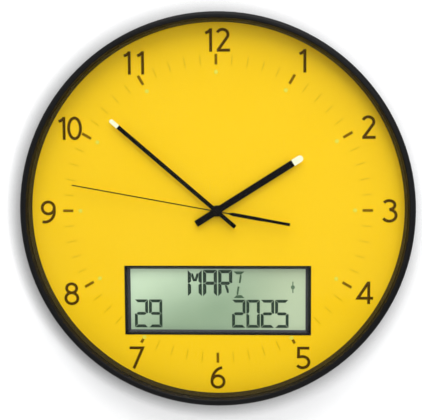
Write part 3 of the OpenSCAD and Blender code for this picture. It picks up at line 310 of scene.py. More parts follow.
def moulded(name, colour, rough, grain=0.35 * mm, relief=0.012 * mm, shade=0.8):
    """Moulded plastic: a faint flow mottle, a fine sparked grain and slightly uneven gloss."""
    plastic = Finish(name)
    flow = plastic.cloud(18 * mm)
    skin = plastic.cloud(grain, detail=2)
    return plastic.principled(
        Base_Color=plastic.blend(flow, toned(colour, shade), colour),
        Roughness=rough * 0.85 + plastic.cloud(6 * mm) * (rough * 0.3),
        Normal=plastic.bump(skin, relief),
    )


movement_plastic = moulded("movement_plastic", paint(34, 34, 36), 0.42)
pale_plastic = moulded("pale_plastic", paint(222, 218, 200), 0.45, relief=0.006 * mm, shade=0.94)
dress(movement_plastic, "movement_case", "movement_lid")
dress(pale_plastic, "train_bridge", "coil_bobbin")


# Motor
# A stamped soft iron stator surrounds the rotor, a small pressed magnet on a plastic pinion. Its flux
# comes from a coil of enamelled copper wire, wound in even layers on a bobbin with an iron core.
def stamped_metal(name, colour, rough, grain, dulled=0.6):
    """Sheet or drawn metal: fine lines along the grain, with dull blotches where it was handled."""
    metal = Finish(name)
    lines = metal.cloud(0.25 * mm, grain, detail=2)
    blotch = metal.step(metal.cloud(4 * mm), 0.45, 0.75)
    return metal.principled(
        Base_Color=metal.blend(blotch * 0.5, colour, toned(colour, dulled)),
        Metallic=1.0,
        Roughness=rough + lines * 0.12 + blotch * 0.15,
        Normal=metal.bump(lines, 0.004 * mm),
    )


def enamelled_winding(name):
    """Fine copper wire laid side by side along X, with the odd turn that stands proud, and shade painted
    darker in the gaps between turns.
    """
    wire = Finish(name)
    pitch = 0.3 * mm
    turn = (wire.along(0) / pitch).maths("FRACT")
    hollow_and_shade = abs(turn - 0.5) * 2
    uneven = wire.cloud(1.2 * mm, (0.2, 3, 3))
    return wire.principled(
        # Painted shade: the copper colour darkens towards the gaps between turns
        Base_Color=wire.blend(hollow_and_shade * 0.6 + uneven * 0.4, paint(190, 98, 48), paint(92, 36, 14)),
        Metallic=0.7,
        Roughness=0.28 + uneven * 0.2,
        Normal=wire.bump(1 - hollow_and_shade, 0.08 * mm),
    )


def pressed_magnet(name):
    """Sintered magnet: dark grey with a fine sparkle."""
    magnet = Finish(name)
    speck = magnet.step(magnet.cloud(0.12 * mm), 0.55, 0.7)
    return magnet.principled(
        Base_Color=magnet.blend(speck, paint(74, 74, 78), paint(128, 128, 134)),
        Metallic=0.6,
        Roughness=0.5 - speck * 0.15,
        Normal=magnet.bump(speck, 0.01 * mm),
    )


dress(stamped_metal("stator_iron", paint(158, 158, 162), 0.34, (6, 1, 1)), "stator")
dress(enamelled_winding("coil_copper"), "coil_winding")
dress(pressed_magnet("rotor_magnet"), "rotor")


# Wheel train
# Step, second, third, minute, motion and hour wheels are moulded in white acetal, which needs no oil.
# The knob that sets the hands sits on the motion wheel's rear end, in a greyer plastic.
gear_plastic = moulded("gear_plastic", paint(236, 236, 228), 0.3, relief=0.003 * mm, shade=0.95)
knob_plastic = moulded("knob_plastic", paint(196, 196, 188), 0.38, relief=0.008 * mm, shade=0.92)
dress(gear_plastic, "step_wheel", "second_wheel", "third_wheel")
dress(gear_plastic, "minute_wheel", "motion_wheel", "hour_wheel")
dress(knob_plastic, "setting_knob")


# Electronics of the movement
# A small board with the driver under a blob of black resin and a drawn can that holds the crystal. Two
# folded contacts of plated steel carry the current of the movement's own cell.
def solder_resist(name):
    """Glass board under green lacquer: pale traces show through it, and the lacquer pools a little."""
    board = Finish(name)
    laid_flat = {"Vector": board.place, "Rotation": (math.pi / 2, 0, 0)}
    traces = board.node("ShaderNodeTexBrick", {"offset": 0.5}, {
        "Vector": board.node("ShaderNodeMapping", {}, laid_flat),
        "Scale": 1 / (9 * mm),
        "Mortar Size": 0.035,
        "Brick Width": 0.9,
        "Row Height": 0.22,
    }, "Fac")
    lacquer = board.blend(board.cloud(9 * mm), paint(14, 84, 42), paint(20, 104, 54))
    return board.principled(
        Base_Color=board.blend(traces * 0.6, lacquer, paint(70, 150, 70)),
        Roughness=0.24 + board.cloud(3 * mm) * 0.15,
        Coat_Weight=0.4,
        Coat_Roughness=0.15,
        Normal=board.bump(traces, 0.03 * mm),
    )


circuit_board = solder_resist("circuit_board")
contact_steel = stamped_metal("contact_steel", paint(196, 196, 198), 0.22, (1, 1, 5), dulled=0.75)
crystal_can = stamped_metal("crystal_can", paint(188, 188, 192), 0.18, (5, 1, 1), dulled=0.8)
dress(circuit_board, "movement_board", "lcd_board")
dress(contact_steel, "movement_contacts", "battery_tabs", "battery_springs")
dress(crystal_can, "quartz_crystal", "calendar_crystal")


# Cells
# Three round dry cells: a drawn can in a shrunk plastic jacket, plain dark green with one gold band at
# the terminal end and no print. Flat end and terminal are bare plated steel.
cell_length = 50.4 * mm

# Where the base's steel ends, the band starts and the terminal's steel starts, each from the first trace
# to the full colour, in shares of the length from the flat end
base_edge = (0.012, 0.016)
band_edge = (0.76, 0.765)
terminal_edge = (0.962, 0.966)


def cell_jacket(name, node, head_to_tail):
    """The colours along a cell whose terminal points to +X. Of two that lie head to tail, the lower one
    points the other way."""
    jacket = Finish(name)
    low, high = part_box(node)
    middle = (low + high) / 2
    from_middle = (jacket.along(0) - middle.x) / cell_length
    if head_to_tail:
        from_middle = from_middle * (middle.z - jacket.along(2)).maths("SIGN")
    reach = from_middle + 0.5
    terminal = jacket.step(reach, *terminal_edge)
    band = jacket.step(reach, *band_edge) * (1 - terminal)
    bare = terminal + (1 - jacket.step(reach, *base_edge))
    green = jacket.blend(jacket.cloud(12 * mm), paint(24, 62, 44), paint(28, 72, 50))
    sleeve = jacket.blend(band, green, paint(196, 152, 66))
    return jacket.principled(
        Base_Color=jacket.blend(bare, sleeve, paint(200, 200, 202)),
        Metallic=bare * 0.4 + band * 0.3 + 0.2,
        Roughness=0.26 + jacket.cloud(5 * mm) * 0.1,
        Coat_Weight=0.5 - bare * 0.5,
        Coat_Roughness=0.12,
        Normal=jacket.bump(jacket.cloud(2.5 * mm), 0.02 * mm),
    )


bay_jacket = cell_jacket("cell_jacket_bay", "battery_cells", head_to_tail=True)
movement_jacket = cell_jacket("cell_jacket_movement", "movement_cell", head_to_tail=False)
dress(bay_jacket, "battery_cells")
dress(movement_jacket, "movement_cell")


# Dial carrier
# A large black moulded plate behind the dial, with a rim and ribs to its back. It holds the movement by
# four hooked lugs, the display board by four posts and the rear cover by eight.
dress(moulded("inner_plastic", paint(46, 46, 48), 0.5, relief=0.02 * mm), "dial_carrier")


# Display window and panel
# A sunk frame of dark grey plastic leads down to the liquid crystal panel: two bonded panes with a
# polariser, grey-green over a brushed reflector. The lit segments are a thin film on the front pane.
window_low, window_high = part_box("window_frame")
panel_low, panel_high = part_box("lcd_glass")
panel_front = -panel_low.y

# The panel is painted palest at its upper left, and again at its right end, a reflection of the room
# painted into its colour: how the first painted reflection slopes, and from where to where each one
# grows
painted_reflection_slope = 1.3
left_painted_reflection = (-0.35, 0.95)
right_painted_reflection = (0.48, 1.0)


def display_panel(name):
    """Grey-green, with a painted reflection: paler at the upper left and at the right end, where the
    reflector catches the room.
    """
    panel = Finish(name)
    across = (panel.along(0) - panel_low.x) / (panel_high.x - panel_low.x)
    upward = (panel.along(2) - panel_low.z) / (panel_high.z - panel_low.z)
    # Painted reflection: a lighter base colour at the upper left and at the right end
    upper_left_reflection = panel.step(upward - across * painted_reflection_slope, *left_painted_reflection)
    right_end_reflection = panel.step(across, *right_painted_reflection)
    mottle = panel.cloud(14 * mm) * 0.125
    ground = panel.blend(upper_left_reflection + mottle, paint(144, 168, 138), paint(212, 234, 203))
    return panel.principled(
        Base_Color=panel.blend(right_end_reflection * 0.8, ground, paint(202, 216, 182)),
        Roughness=0.32 + panel.cloud(1.5 * mm) * 0.06,
        Specular_IOR_Level=0.35,
        Normal=panel.bump(panel.cloud(0.2 * mm), 0.0008 * mm),
    )


def sunk_frame(name):
    """Dark grey plastic, blackened on its front edge so that the opening looks crisp."""
    plastic = Finish(name)
    grey_up_to = panel_front + 1.2 * mm
    black_from = -window_low.y - 0.6 * mm
    front = plastic.step(plastic.along(1) * -1, grey_up_to, black_from)
    skin = plastic.cloud(0.35 * mm, detail=2)
    return plastic.principled(
        Base_Color=plastic.blend(front, paint(66, 66, 74), paint(15, 15, 15)),
        Roughness=0.42 + plastic.cloud(6 * mm) * 0.1,
        Specular_IOR_Level=0.15,
        Normal=plastic.bump(skin, 0.008 * mm),
    )


dress(sunk_frame("window_plastic"), "window_frame")
dress(display_panel("lcd_panel"), "lcd_glass")
dress(stamped_metal("reflector_foil", paint(206, 210, 202), 0.3, (8, 1, 1), dulled=0.9), "lcd_reflector")


def layered_rubber(name):
    """Pink silicone, crossed by black conductive layers."""
    rubber = Finish(name)
    layer_pitch = 0.5 * mm
    layer = (rubber.along(0) / layer_pitch).maths("FRACT")
    black = rubber.step(abs(layer - 0.5), 0.2, 0.3)
    return rubber.principled(
        Base_Color=rubber.blend(black, paint(204, 140, 150), paint(40, 34, 36)),
        Roughness=0.62 + rubber.cloud(2 * mm) * 0.2,
        Normal=rubber.bump(rubber.cloud(0.4 * mm), 0.01 * mm),
    )


dress(layered_rubber("strip_rubber"), "contact_strips")


def plan(x, y, level):
    """A point of the dial's plan: x and y from the arbor as the dial is read, level from the wall."""
    return Vector((x, -level, arbor_z + y))


# How far prints reach into what they lie on, and how near two corners fall together
print_sunk = 0.02 * mm
same_corner = 1e-6


def flat_piece(name, outlines, level, thick, finish, body, mirrored=False):
    """A thin raised piece from flat outlines, which may overlap. Mirrored ones are read from behind."""
    corners = []
    loops = []
    for outline in outlines:
        area = sum(a[0] * b[1] - b[0] * a[1] for a, b in zip(outline, outline[1:] + outline[:1]))
        ordered = outline if area > 0 else outline[::-1]
        loops.append(list(range(len(corners), len(corners) + len(ordered))))
        corners.extend(Vector(p) for p in ordered)
    points, _, faces, _, _, owners = delaunay_2d_cdt(corners, [], loops, 0, same_corner)
    mesh = bmesh.new()
    side = -1 if mirrored else 1
    base = level - side * print_sunk
    verts = [mesh.verts.new(plan(side * p.x, p.y, base)) for p in points]
    kept = [mesh.faces.new([verts[i] for i in face]) for face, owner in zip(faces, owners) if owner]
    loose = [v for v in mesh.verts if not v.link_faces]
    bmesh.ops.delete(mesh, geom=loose, context="VERTS")
    raised = bmesh.ops.extrude_face_region(mesh, geom=kept, use_keep_orig=True)["geom"]
    shift = Vector((0, side * -(thick + print_sunk), 0))
    bmesh.ops.translate(mesh, vec=shift, verts=[v for v in raised if isinstance(v, bmesh.types.BMVert)])
    bmesh.ops.recalc_face_normals(mesh, faces=mesh.faces)
    data = bpy.data.meshes.new(name)
    mesh.to_mesh(data)
    mesh.free()
    data.materials.append(finish.material)
    set_in_place(name, data, body)


def set_in_place(name, data, body):
    """Makes a finished mesh a piece of its own, which rides on a body."""
    piece = bpy.data.objects.new(name, data)
    scene.collection.objects.link(piece)
    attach(piece, body)


def display_ink(name, colour):
    """Dark liquid crystal, with the faint unevenness of the cell."""
    ink = Finish(name)
    return ink.principled(
        Base_Color=ink.blend(ink.cloud(5 * mm), colour, toned(colour, 1.5)),
        Roughness=0.34,
        Specular_IOR_Level=0.35,
    )


segment_gap = 0.2 * mm


def segment_outlines(w, h, s):
    """The bars, s wide, of a digit or letter as flat outlines, from its lower left corner: a to g as on
    any such display, and m1 to m4, a letter's diagonals, from the upper left round to the lower left."""
    g = segment_gap
    mid = h / 2
    half = s / 2
    bars = {
        "a": [(g, h), (w - g, h), (w - s - g, h - s), (s + g, h - s)],
        "b": [
            (w, h - g), (w, mid + g), (w - half, mid + g),
            (w - s, mid + half + g), (w - s, h - s - g),
        ],
        "g": [
            (half + g, mid), (s + g, mid + half), (w - s - g, mid + half),
            (w - half - g, mid), (w - s - g, mid - half), (s + g, mid - half),
        ],
    }
    bars["f"] = [(w - x, y) for x, y in bars["b"]]
    bars["c"] = [(x, h - y) for x, y in bars["b"]]
    bars["e"] = [(w - x, h - y) for x, y in bars["b"]]
    bars["d"] = [(x, h - y) for x, y in bars["a"]]
    inner = s + g
    bars["m1"] = [
        (inner, h - inner), (inner + half, h - inner), (w / 2 + g, mid + s),
        (w / 2 + g, mid + half + g), (w / 2 - half, mid + half + g), (inner, h - inner - s),
    ]
    bars["m2"] = [(w - x, y) for x, y in bars["m1"]]
    bars["m3"] = [(w - x, h - y) for x, y in bars["m1"]]
    bars["m4"] = [(x, h - y) for x, y in bars["m1"]]
    return bars


display_bars = {
    "0": "abcdef", "2": "abged", "5": "afgcd", "9": "abcdfg",
    "A": "abcefg", "R": "abefg", "M": "bcef", "Z": "ad",
}
display_diagonals = {"M": ("m1", "m2"), "R": ("m3",), "Z": ("m2", "m4")}


def oblong(left, low, right, high):
    """A flat outline with four square corners."""
    return [(left, low), (right, low), (right, high), (left, high)]


def display_word(text, left, low, w, h, bar_w, pitch):
    """The lit bars of a row of characters, whose first one has its lower left corner at left, low."""
    lit = []
    for i, sign in enumerate(text):
        bars = segment_outlines(w, h, bar_w)
        for bar in (*display_bars[sign], *display_diagonals.get(sign, ())):
            lit.append([(left + i * pitch + x, low + y) for x, y in bars[bar]])
    return lit


letter_w = 11 * mm
letter_h = 21 * mm
letter_bar = 2.6 * mm
letter_pitch = 11.9 * mm
month_left = -23.4 * mm
month_low = -67.9 * mm
digit_w = 10.5 * mm
digit_h = 22.2 * mm
digit_bar = 2.3 * mm
digit_pitch = 11.2 * mm
date_low = -92.6 * mm
day_left = -65.3 * mm
year_left = 11.1 * mm
ink_t = 0.03 * mm

dark_ink = display_ink("lcd_ink", paint(24, 44, 30))
pale_ink = display_ink("lcd_ink_pale", paint(58, 82, 58))
faint_ink = display_ink("lcd_ink_faint", paint(84, 108, 82))
month = "MAR"
dark_bars = display_word(month, month_left, month_low, letter_w, letter_h, letter_bar, letter_pitch)
dark_bars += display_word("29", day_left, date_low, digit_w, digit_h, digit_bar, digit_pitch)
dark_bars += display_word("2025", year_left, date_low, digit_w, digit_h, digit_bar, digit_pitch)
flat_piece("lcd_segments", dark_bars, panel_front, ink_t, dark_ink, "case")

# The month's last place shows a paler, narrower sign that sits a little lower
last_left = month_left + len(month) * letter_pitch
last_low = month_low - 1.2 * mm
last_w = letter_w * 0.8
last_sign = display_word("Z", last_left, last_low, last_w, letter_h, digit_bar, 0)
flat_piece("lcd_segments_pale", last_sign, panel_front, ink_t, pale_ink, "case")

# A small plain mark at the panel's right: a thin upright with a round spot
mast_x = 58.5 * mm
mast_low = -65 * mm
mast_h = 9 * mm
mast_w = 0.9 * mm
mast = oblong(mast_x - mast_w / 2, mast_low, mast_x + mast_w / 2, mast_low + mast_h)
spot_z = mast_low + mast_h / 2
spot_r = 1.6 * mm
spot_angles = [math.radians(degrees) for degrees in range(0, 360, 20)]
spot = [(mast_x + spot_r * math.cos(a), spot_z + spot_r * math.sin(a)) for a in spot_angles]
flat_piece("lcd_signal_mark", [mast, spot], panel_front, ink_t, faint_ink, "case")


# Display board
# The board of the calendar lies behind the panel on four screws. It carries the controller with its
# rows of legs, a few ceramic capacitors, a crystal can and the switches under the four buttons. Two
# leads bring the current.
def speckled(name, colour, fleck, rough):
    """Fired or cast material with small flecks."""
    cast = Finish(name)
    flecks = cast.step(cast.cloud(0.2 * mm), 0.58, 0.66)
    return cast.principled(
        Base_Color=cast.blend(flecks, colour, fleck),
        Roughness=rough + flecks * 0.1,
        Normal=cast.bump(flecks, 0.006 * mm),
    )


def tinned_ceramic(name):
    """Brown ceramic body between two tinned ends, which show as bright metal by their place along X. The
    middle one stands at the row's middle, and the others a pitch to each side."""
    part = Finish(name)
    pitch = 5 * mm
    body_half = 0.62 * mm
    tin_from = 0.66 * mm
    low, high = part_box("board_capacitors")
    pitches = (part.along(0) - (low.x + high.x) / 2) / pitch
    beside = abs((pitches + 0.5).maths("FRACT") - 0.5) * pitch
    tin = part.step(beside, body_half, tin_from)
    return part.principled(
        Base_Color=part.blend(tin, paint(150, 112, 70), paint(206, 206, 210)),
        Metallic=tin,
        Roughness=0.45 - tin * 0.15,
        Normal=part.bump(part.cloud(0.3 * mm), 0.01 * mm),
    )


screw_steel = stamped_metal("screw_steel", paint(178, 178, 182), 0.26, (1, 1, 1), dulled=0.65)
dress(speckled("chip_resin", paint(34, 34, 36), paint(62, 62, 64), 0.5), "lcd_chip")
dress(tinned_ceramic("capacitor_ceramic"), "board_capacitors")
dress(screw_steel, "board_screws", "cover_screws", "hanger_screws")
dress(moulded("switch_plastic", paint(44, 44, 46), 0.4), "tact_switches")
dress(moulded("lead_sleeve", paint(176, 26, 22), 0.38, relief=0.004 * mm), "battery_leads")


# Dial
# A thin plate printed in solid yellow, with plain numerals, a mark at each hour, a luminous dot at each
# but the sixth, and fine minute marks. Marks that would fall in the window aren't printed.
def printed_plate(name):
    """Screen printed yellow: dead even to the eye, with a faint mottle and the satin of the ink."""
    plate = Finish(name)
    mottle = plate.cloud(35 * mm)
    return plate.principled(
        Base_Color=plate.blend(mottle, paint(247, 200, 18), paint(249, 204, 26)),
        Roughness=0.55 + plate.cloud(8 * mm) * 0.08,
        Specular_IOR_Level=0.08,
        Normal=plate.bump(plate.cloud(0.3 * mm), 0.002 * mm),
    )


def printed_ink(name, colour, rough=0.5):
    """Matt printed ink, a little thinner in spots."""
    ink = Finish(name)
    thin = ink.step(ink.cloud(1.2 * mm), 0.5, 0.9)
    return ink.principled(
        Base_Color=ink.blend(thin, colour, toned(colour, 1.6)),
        Roughness=rough,
        Specular_IOR_Level=0.05,
        Normal=ink.bump(ink.cloud(0.25 * mm), 0.003 * mm),
    )


dress(printed_plate("dial_print"), "dial_plate")
numeral_ink = printed_ink("numeral_ink", paint(78, 53, 0))
hour_ink = printed_ink("hour_ink", paint(126, 91, 0))
minute_ink = printed_ink("minute_ink", paint(208, 164, 8))


def arc(centre, reach, start, end, steps=20):
    """Points of an ellipse's arc, in millimetres. Angles in degrees run anticlockwise from the right."""
    turns = [math.radians(start + (end - start) * i / steps) for i in range(steps + 1)]
    return [(centre[0] + reach[0] * math.cos(a), centre[1] + reach[1] * math.sin(a)) for a in turns]


# Below what gap a path counts as closed, and the least mitre, which keeps sharp corners short
path_closed = 1e-9
mitre_least = 0.35


def ribbon(path, half):
    """A stroke of even width along a path: one four sided outline per step, mitred to the next."""
    closed = math.dist(path[0], path[-1]) < path_closed
    line = [Vector(p) for p in (path[:-1] if closed else path)]
    count = len(line)
    edges = []
    for i, point in enumerate(line):
        before = line[i - 1] if i > 0 or closed else None
        after = line[(i + 1) % count] if i < count - 1 or closed else None
        come = (point - before).normalized() if before is not None else (after - point).normalized()
        leave = (after - point).normalized() if after is not None else come
        across = Vector((-(come + leave).y, (come + leave).x)).normalized()
        reach = half / max(mitre_least, across.dot(Vector((-come.y, come.x))))
        edges.append((point + across * reach, point - across * reach))
    steps = count if closed else count - 1
    outlines = []
    for i in range(steps):
        (a, b), (c, d) = edges[i], edges[(i + 1) % count]
        outlines.append([tuple(a), tuple(b), tuple(d), tuple(c)])
    return outlines


# The centre lines of the digits' strokes, in millimetres from the lower left corner of each
numeral_half = 1.13
numeral_h = 17.6
numeral_top = numeral_h - numeral_half
digit_strokes = {
    "0": [arc((5.5, 8.8), (4.6, 7.92), 0, 360, 36)],
    "1": [[(4.6, 0), (4.6, numeral_h)], [(0.5, 14.1), (2.2, 14.7), (3.6, 15.6), (4.5, 16.8)]],
    "2": [
        arc((4.7, 12.9), (4.2, 3.8), 158, -32) + [(1.1, 1.0)],
        [(0.3, numeral_half), (10.4, numeral_half)],
    ],
    "3": [arc((5.0, 13.3), (4.4, 3.4), 150, -88), arc((5.2, 5.3), (5.2, 4.4), 88, -150)],
    "4": [[(9.2, 0), (9.2, numeral_h)], [(9.0, 17.0), (0.9, 4.6), (12.6, 4.6)]],
    "5": [
        [(10.2, numeral_top), (1.9, numeral_top), (1.7, 9.5)] + arc((4.9, 5.35), (5.0, 4.45), 110, -145),
    ],
    "6": [arc((5.8, 5.55), (4.75, 4.65), 0, 360, 30), arc((10.1, 5.55), (9.05, 11.2), 96, 180)],
    "7": [[(0.2, numeral_top), (10.6, numeral_top), (3.4, 0)]],
    "8": [arc((5.6, 13.15), (3.95, 3.55), 0, 360, 30), arc((5.6, 5.25), (4.75, 4.35), 0, 360, 30)],
    "9": [arc((5.8, 12.05), (4.75, 4.65), 0, 360, 30), arc((2.9, 9.4), (7.65, 8.4), 18, -104)],
}

# Where a second digit starts, the ring that the numerals stand on, and how far each stands off its place
second_digit_at = {"10": 7.3, "11": 10.2, "12": 8.9}
numeral_ring = 131.3
two_digit_in = 2.2
numeral_nudge = {
    2: (2.0, -2.3), 3: (1.0, -0.4), 4: (-0.5, 1.8), 5: (0.9, -1.5), 7: (2.4, -2.0),
    8: (-0.4, 0.4), 9: (0.2, -1.0), 10: (-0.9, -0.8), 11: (1.8, 1.4), 12: (1.2, 0.8),
}
hour_degrees = 30
numeral_t = 0.04 * mm


def numeral_outlines(hour):
    """The strokes of one hour's numeral, with the middle of its ink by the numeral ring."""
    text = str(hour)
    outlines = []
    for i, digit in enumerate(text):
        shift = second_digit_at[text] if i else 0
        for path in digit_strokes[digit]:
            outlines += ribbon([(x + shift, y) for x, y in path], numeral_half)
    xs = [p[0] for outline in outlines for p in outline]
    middle = (min(xs) + max(xs)) / 2
    reach = numeral_ring - (two_digit_in if len(text) == 2 else 0)
    nudge = numeral_nudge.get(hour, (0, 0))
    angle = math.radians(hour_degrees * hour)
    at_x = reach * math.sin(angle) + nudge[0] - middle
    at_y = reach * math.cos(angle) + nudge[1] - numeral_h / 2
    return [[((x + at_x) * mm, (y + at_y) * mm) for x, y in outline] for outline in outlines]


numerals = [outline for hour in range(1, 13) for outline in numeral_outlines(hour)]
flat_piece("dial_numerals", numerals, dial_front, numeral_t, numeral_ink, "case")


def dial_marks_tree():
    """Geometry Nodes that set bars or dots round the arbor, but none with its middle in the window."""
    tree = bpy.data.node_groups.new("dial_marks", "GeometryNodeTree")
    inputs = {
        "Count": "Int", "First angle": "Float", "Step": "Float", "Skip every": "Int", "Radius": "Float",
        "Length": "Float", "Width": "Float", "Thickness": "Float", "Round": "Bool", "Level": "Float",
        "Arbor height": "Float", "Window half width": "Float", "Window top": "Float",
        "Window foot": "Float", "Material": "Material",
    }
    for name, kind in inputs.items():
        tree.interface.new_socket(name, in_out="INPUT", socket_type="NodeSocket" + kind)
    tree.interface.new_socket("Geometry", in_out="OUTPUT", socket_type="NodeSocketGeometry")
    marks = Nodes(tree)
    given = {name: marks.node("NodeGroupInput", out=name) for name in inputs}
    points = marks.node("GeometryNodePoints", {}, {"Count": given["Count"]})
    index = marks.node("GeometryNodeInputIndex")
    angle = given["First angle"] + index * given["Step"]
    x = given["Radius"] * angle.maths("SINE")
    y = given["Radius"] * angle.maths("COSINE")
    spot = marks.node("ShaderNodeCombineXYZ", {}, {"X": x, "Y": y})
    placed = marks.node("GeometryNodeSetPosition", {}, {"Geometry": points, "Position": spot})
    between = (given["Window top"] > y) * (y > given["Window foot"])
    in_window = (given["Window half width"] > abs(x)) * between
    skipped = 1 - (index.maths("MODULO", given["Skip every"]) > 0.5)
    left_out = in_window.maths("MAXIMUM", skipped * (given["Skip every"] > 0.5))
    bar_size = marks.node("ShaderNodeCombineXYZ", {}, {
        "X": given["Width"], "Y": given["Length"], "Z": given["Thickness"]
    })
    bar = marks.node("GeometryNodeMeshCube", {}, {"Size": bar_size})
    ball = marks.node("GeometryNodeMeshUVSphere", {}, {"Segments": 20, "Rings": 8, "Radius": 0.5})
    dot = marks.node("GeometryNodeTransform", {}, {"Geometry": ball, "Scale": bar_size})
    mark = marks.node("GeometryNodeSwitch", {"input_type": "GEOMETRY"}, {
        "Switch": given["Round"], "False": bar, "True": dot
    })
    turn = marks.node("ShaderNodeCombineXYZ", {}, {"Z": angle * -1})
    set_round = marks.node("GeometryNodeInstanceOnPoints", {}, {
        "Points": placed, "Selection": 1 - left_out, "Instance": mark, "Rotation": turn
    })
    lift = marks.node("ShaderNodeCombineXYZ", {}, {"Y": given["Level"] * -1, "Z": given["Arbor height"]})
    stood_up = marks.node("GeometryNodeTransform", {}, {
        "Geometry": set_round, "Rotation": (math.pi / 2, 0, 0), "Translation": lift
    })
    solid = marks.node("GeometryNodeRealizeInstances", {}, {"Geometry": stood_up})
    inked = marks.node("GeometryNodeSetMaterial", {}, {"Geometry": solid, "Material": given["Material"]})
    marks.node("NodeGroupOutput", {}, {"Geometry": inked})
    return tree


def grow(name, tree, inputs, body):
    """Runs a Geometry Nodes tree once and keeps its result as a plain mesh that rides on a body."""
    maker = bpy.data.objects.new(name + "_maker", bpy.data.meshes.new(name + "_maker"))
    scene.collection.objects.link(maker)
    modifier = maker.modifiers.new("tree", "NODES")
    modifier.node_group = tree
    for item in tree.interface.items_tree:
        if item.in_out == "INPUT" and item.name in inputs:
            modifier[item.identifier] = inputs[item.name]
    made = maker.evaluated_get(bpy.context.evaluated_depsgraph_get())
    data = bpy.data.meshes.new_from_object(made)
    data.name = name
    bpy.data.objects.remove(maker)
    set_in_place(name, data, body)


def lume_paint(name, colour):
    """Luminous paint: a thick, slightly grainy drop."""
    lume = Finish(name)
    grain = lume.cloud(0.3 * mm)
    return lume.principled(
        Base_Color=lume.blend(grain, colour, toned(colour, 1.08)),
        Roughness=0.6,
        Normal=lume.bump(grain, 0.02 * mm),
    )


marks_tree = dial_marks_tree()
dot_lume = lume_paint("dot_lume", paint(222, 210, 62))

# The rows of marks: what all share, which hours or minutes each row takes, and the shape of its marks.
# The fifth and seventh hours stand close to the window's foot, where none is left out.
frame_flange = 2 * mm
clear_of_window = 1.5 * mm
mark_t = 0.06 * mm
dot_t = 0.2 * mm
dot_w = 3.2 * mm
common = {
    "Level": dial_front + mark_t / 2 - print_sunk,
    "Arbor height": arbor_z,
    "Thickness": mark_t,
    "Window half width": (window_high.x - window_low.x) / 2 - frame_flange + clear_of_window,
    "Window top": window_high.z - arbor_z - frame_flange + clear_of_window,
    "Window foot": window_low.z - arbor_z + frame_flange - clear_of_window,
}
hour_step = math.radians(hour_degrees)
marks_an_hour = 5
lower_hours = {"Count": 2, "First angle": 5 * hour_step, "Step": 2 * hour_step, "Window half width": 0}
sixth_hour = {"Count": 1, "First angle": 6 * hour_step}
upper_hours = {"Count": 9, "First angle": 8 * hour_step, "Step": hour_step}
minutes = {"Count": 60, "Step": hour_step / marks_an_hour, "Skip every": marks_an_hour}
bar = {"Radius": 115.5 * mm, "Length": 8 * mm, "Width": 2.1 * mm, "Material": hour_ink.material}
short_bar = {**bar, "Radius": 118.2 * mm, "Length": 3.4 * mm}
fine_bar = {"Radius": 115.5 * mm, "Length": 7.6 * mm, "Width": 0.7 * mm, "Material": minute_ink.material}
dot = {"Length": dot_w, "Width": dot_w, "Thickness": dot_t, "Round": True, "Material": dot_lume.material}
high_dot = {**dot, "Radius": 105.9 * mm}
low_dot = {**dot, "Radius": 114.8 * mm}
mark_rows = {
    "hour_marks": (upper_hours, bar, "dial_print"),
    "hour_mark_six": (sixth_hour, bar, "dial_print"),
    "hour_marks_low": (lower_hours, short_bar, "dial_print"),
    "minute_marks": (minutes, fine_bar, "dial_print"),
    "hour_dots": (upper_hours, high_dot, "lume"),
    "hour_dots_low": (lower_hours, low_dot, "lume"),
}
for name, (places, shape, slot) in mark_rows.items():
    grow(name, marks_tree, {**common, **places, **shape}, "case")


# Hands
# Stamped from thin aluminium and painted black. The hour hand and the minute hand have a cut-out end
# filled with luminous paint. The second hand is stamped too, and pressed on its arbor with a small cap.
def hand_paint(name):
    """Black satin paint on a stamping, with a little dust."""
    black = Finish(name)
    dust = black.step(black.cloud(0.7 * mm), 0.66, 0.72)
    return black.principled(
        Base_Color=black.blend(dust * 0.2, paint(4, 4, 5), paint(36, 35, 34)),
        Roughness=0.5 + black.cloud(3 * mm) * 0.1,
        Specular_IOR_Level=0.04,
        Normal=black.bump(black.cloud(0.5 * mm), 0.004 * mm),
    )


dress(hand_paint("hand_paint"), "hour_hand", "minute_hand", "second_hand", "second_boss")
dress(lume_paint("tip_lume", paint(238, 240, 208)), "hour_tip", "minute_tip")


# Inner ring
# A satin black moulded ring keeps the lens off the dial. Its wall slopes in towards the dial, and shows
# through the lens along the rim.
def moulded_ring(name):
    """Black plastic with a dark olive tint, a painted reflection of the yellow dial, fine draw lines
    down its wall and very little shine.
    """
    ring = Finish(name)
    drawn = ring.cloud(0.5 * mm, (1, 8, 1))
    return ring.principled(
        # Painted reflection: the olive tint of this black stands in for the yellow dial seen in the wall
        Base_Color=ring.blend(ring.cloud(9 * mm), paint(30, 28, 19), paint(40, 37, 27)),
        Roughness=0.4 + drawn * 0.12,
        Specular_IOR_Level=0.12,
        Normal=ring.bump(drawn, 0.006 * mm),
    )


dress(moulded_ring("inner_ring_plastic"), "dial_ring")


# Lens
# A flat sheet of clear glass, cut round. It lies behind the rim's front lip, and the inner ring keeps it
# there.
def clear_glass(name):
    """Clear, with a thin film of reflection that grows towards a grazing look."""
    glass = Finish(name)
    clear = glass.node("ShaderNodeBsdfTransparent", {}, {"Color": (0.985, 0.99, 0.985, 1)})
    gloss = glass.node("ShaderNodeBsdfGlossy", {}, {"Color": (1, 1, 1, 1), "Roughness": 0.02})
    edge_on = glass.node("ShaderNodeFresnel", {}, {"IOR": 1.45})
    smear = glass.cloud(40 * mm) * 0.08 + 0.06
    return glass.output(glass.node("ShaderNodeMixShader", {}, {0: edge_on * smear, 1: clear, 2: gloss}))


dress(clear_glass("lens_glass"), "lens")


# Front frame
# The rim is one deep moulding in black, with a rounded front edge and a satin skirt that runs to the
# wall. Its catches snap over the dial stack from inside.
rim_low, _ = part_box("front_frame")
face_ends = rim_low.y + 5 * mm
skirt_starts = rim_low.y + 12 * mm


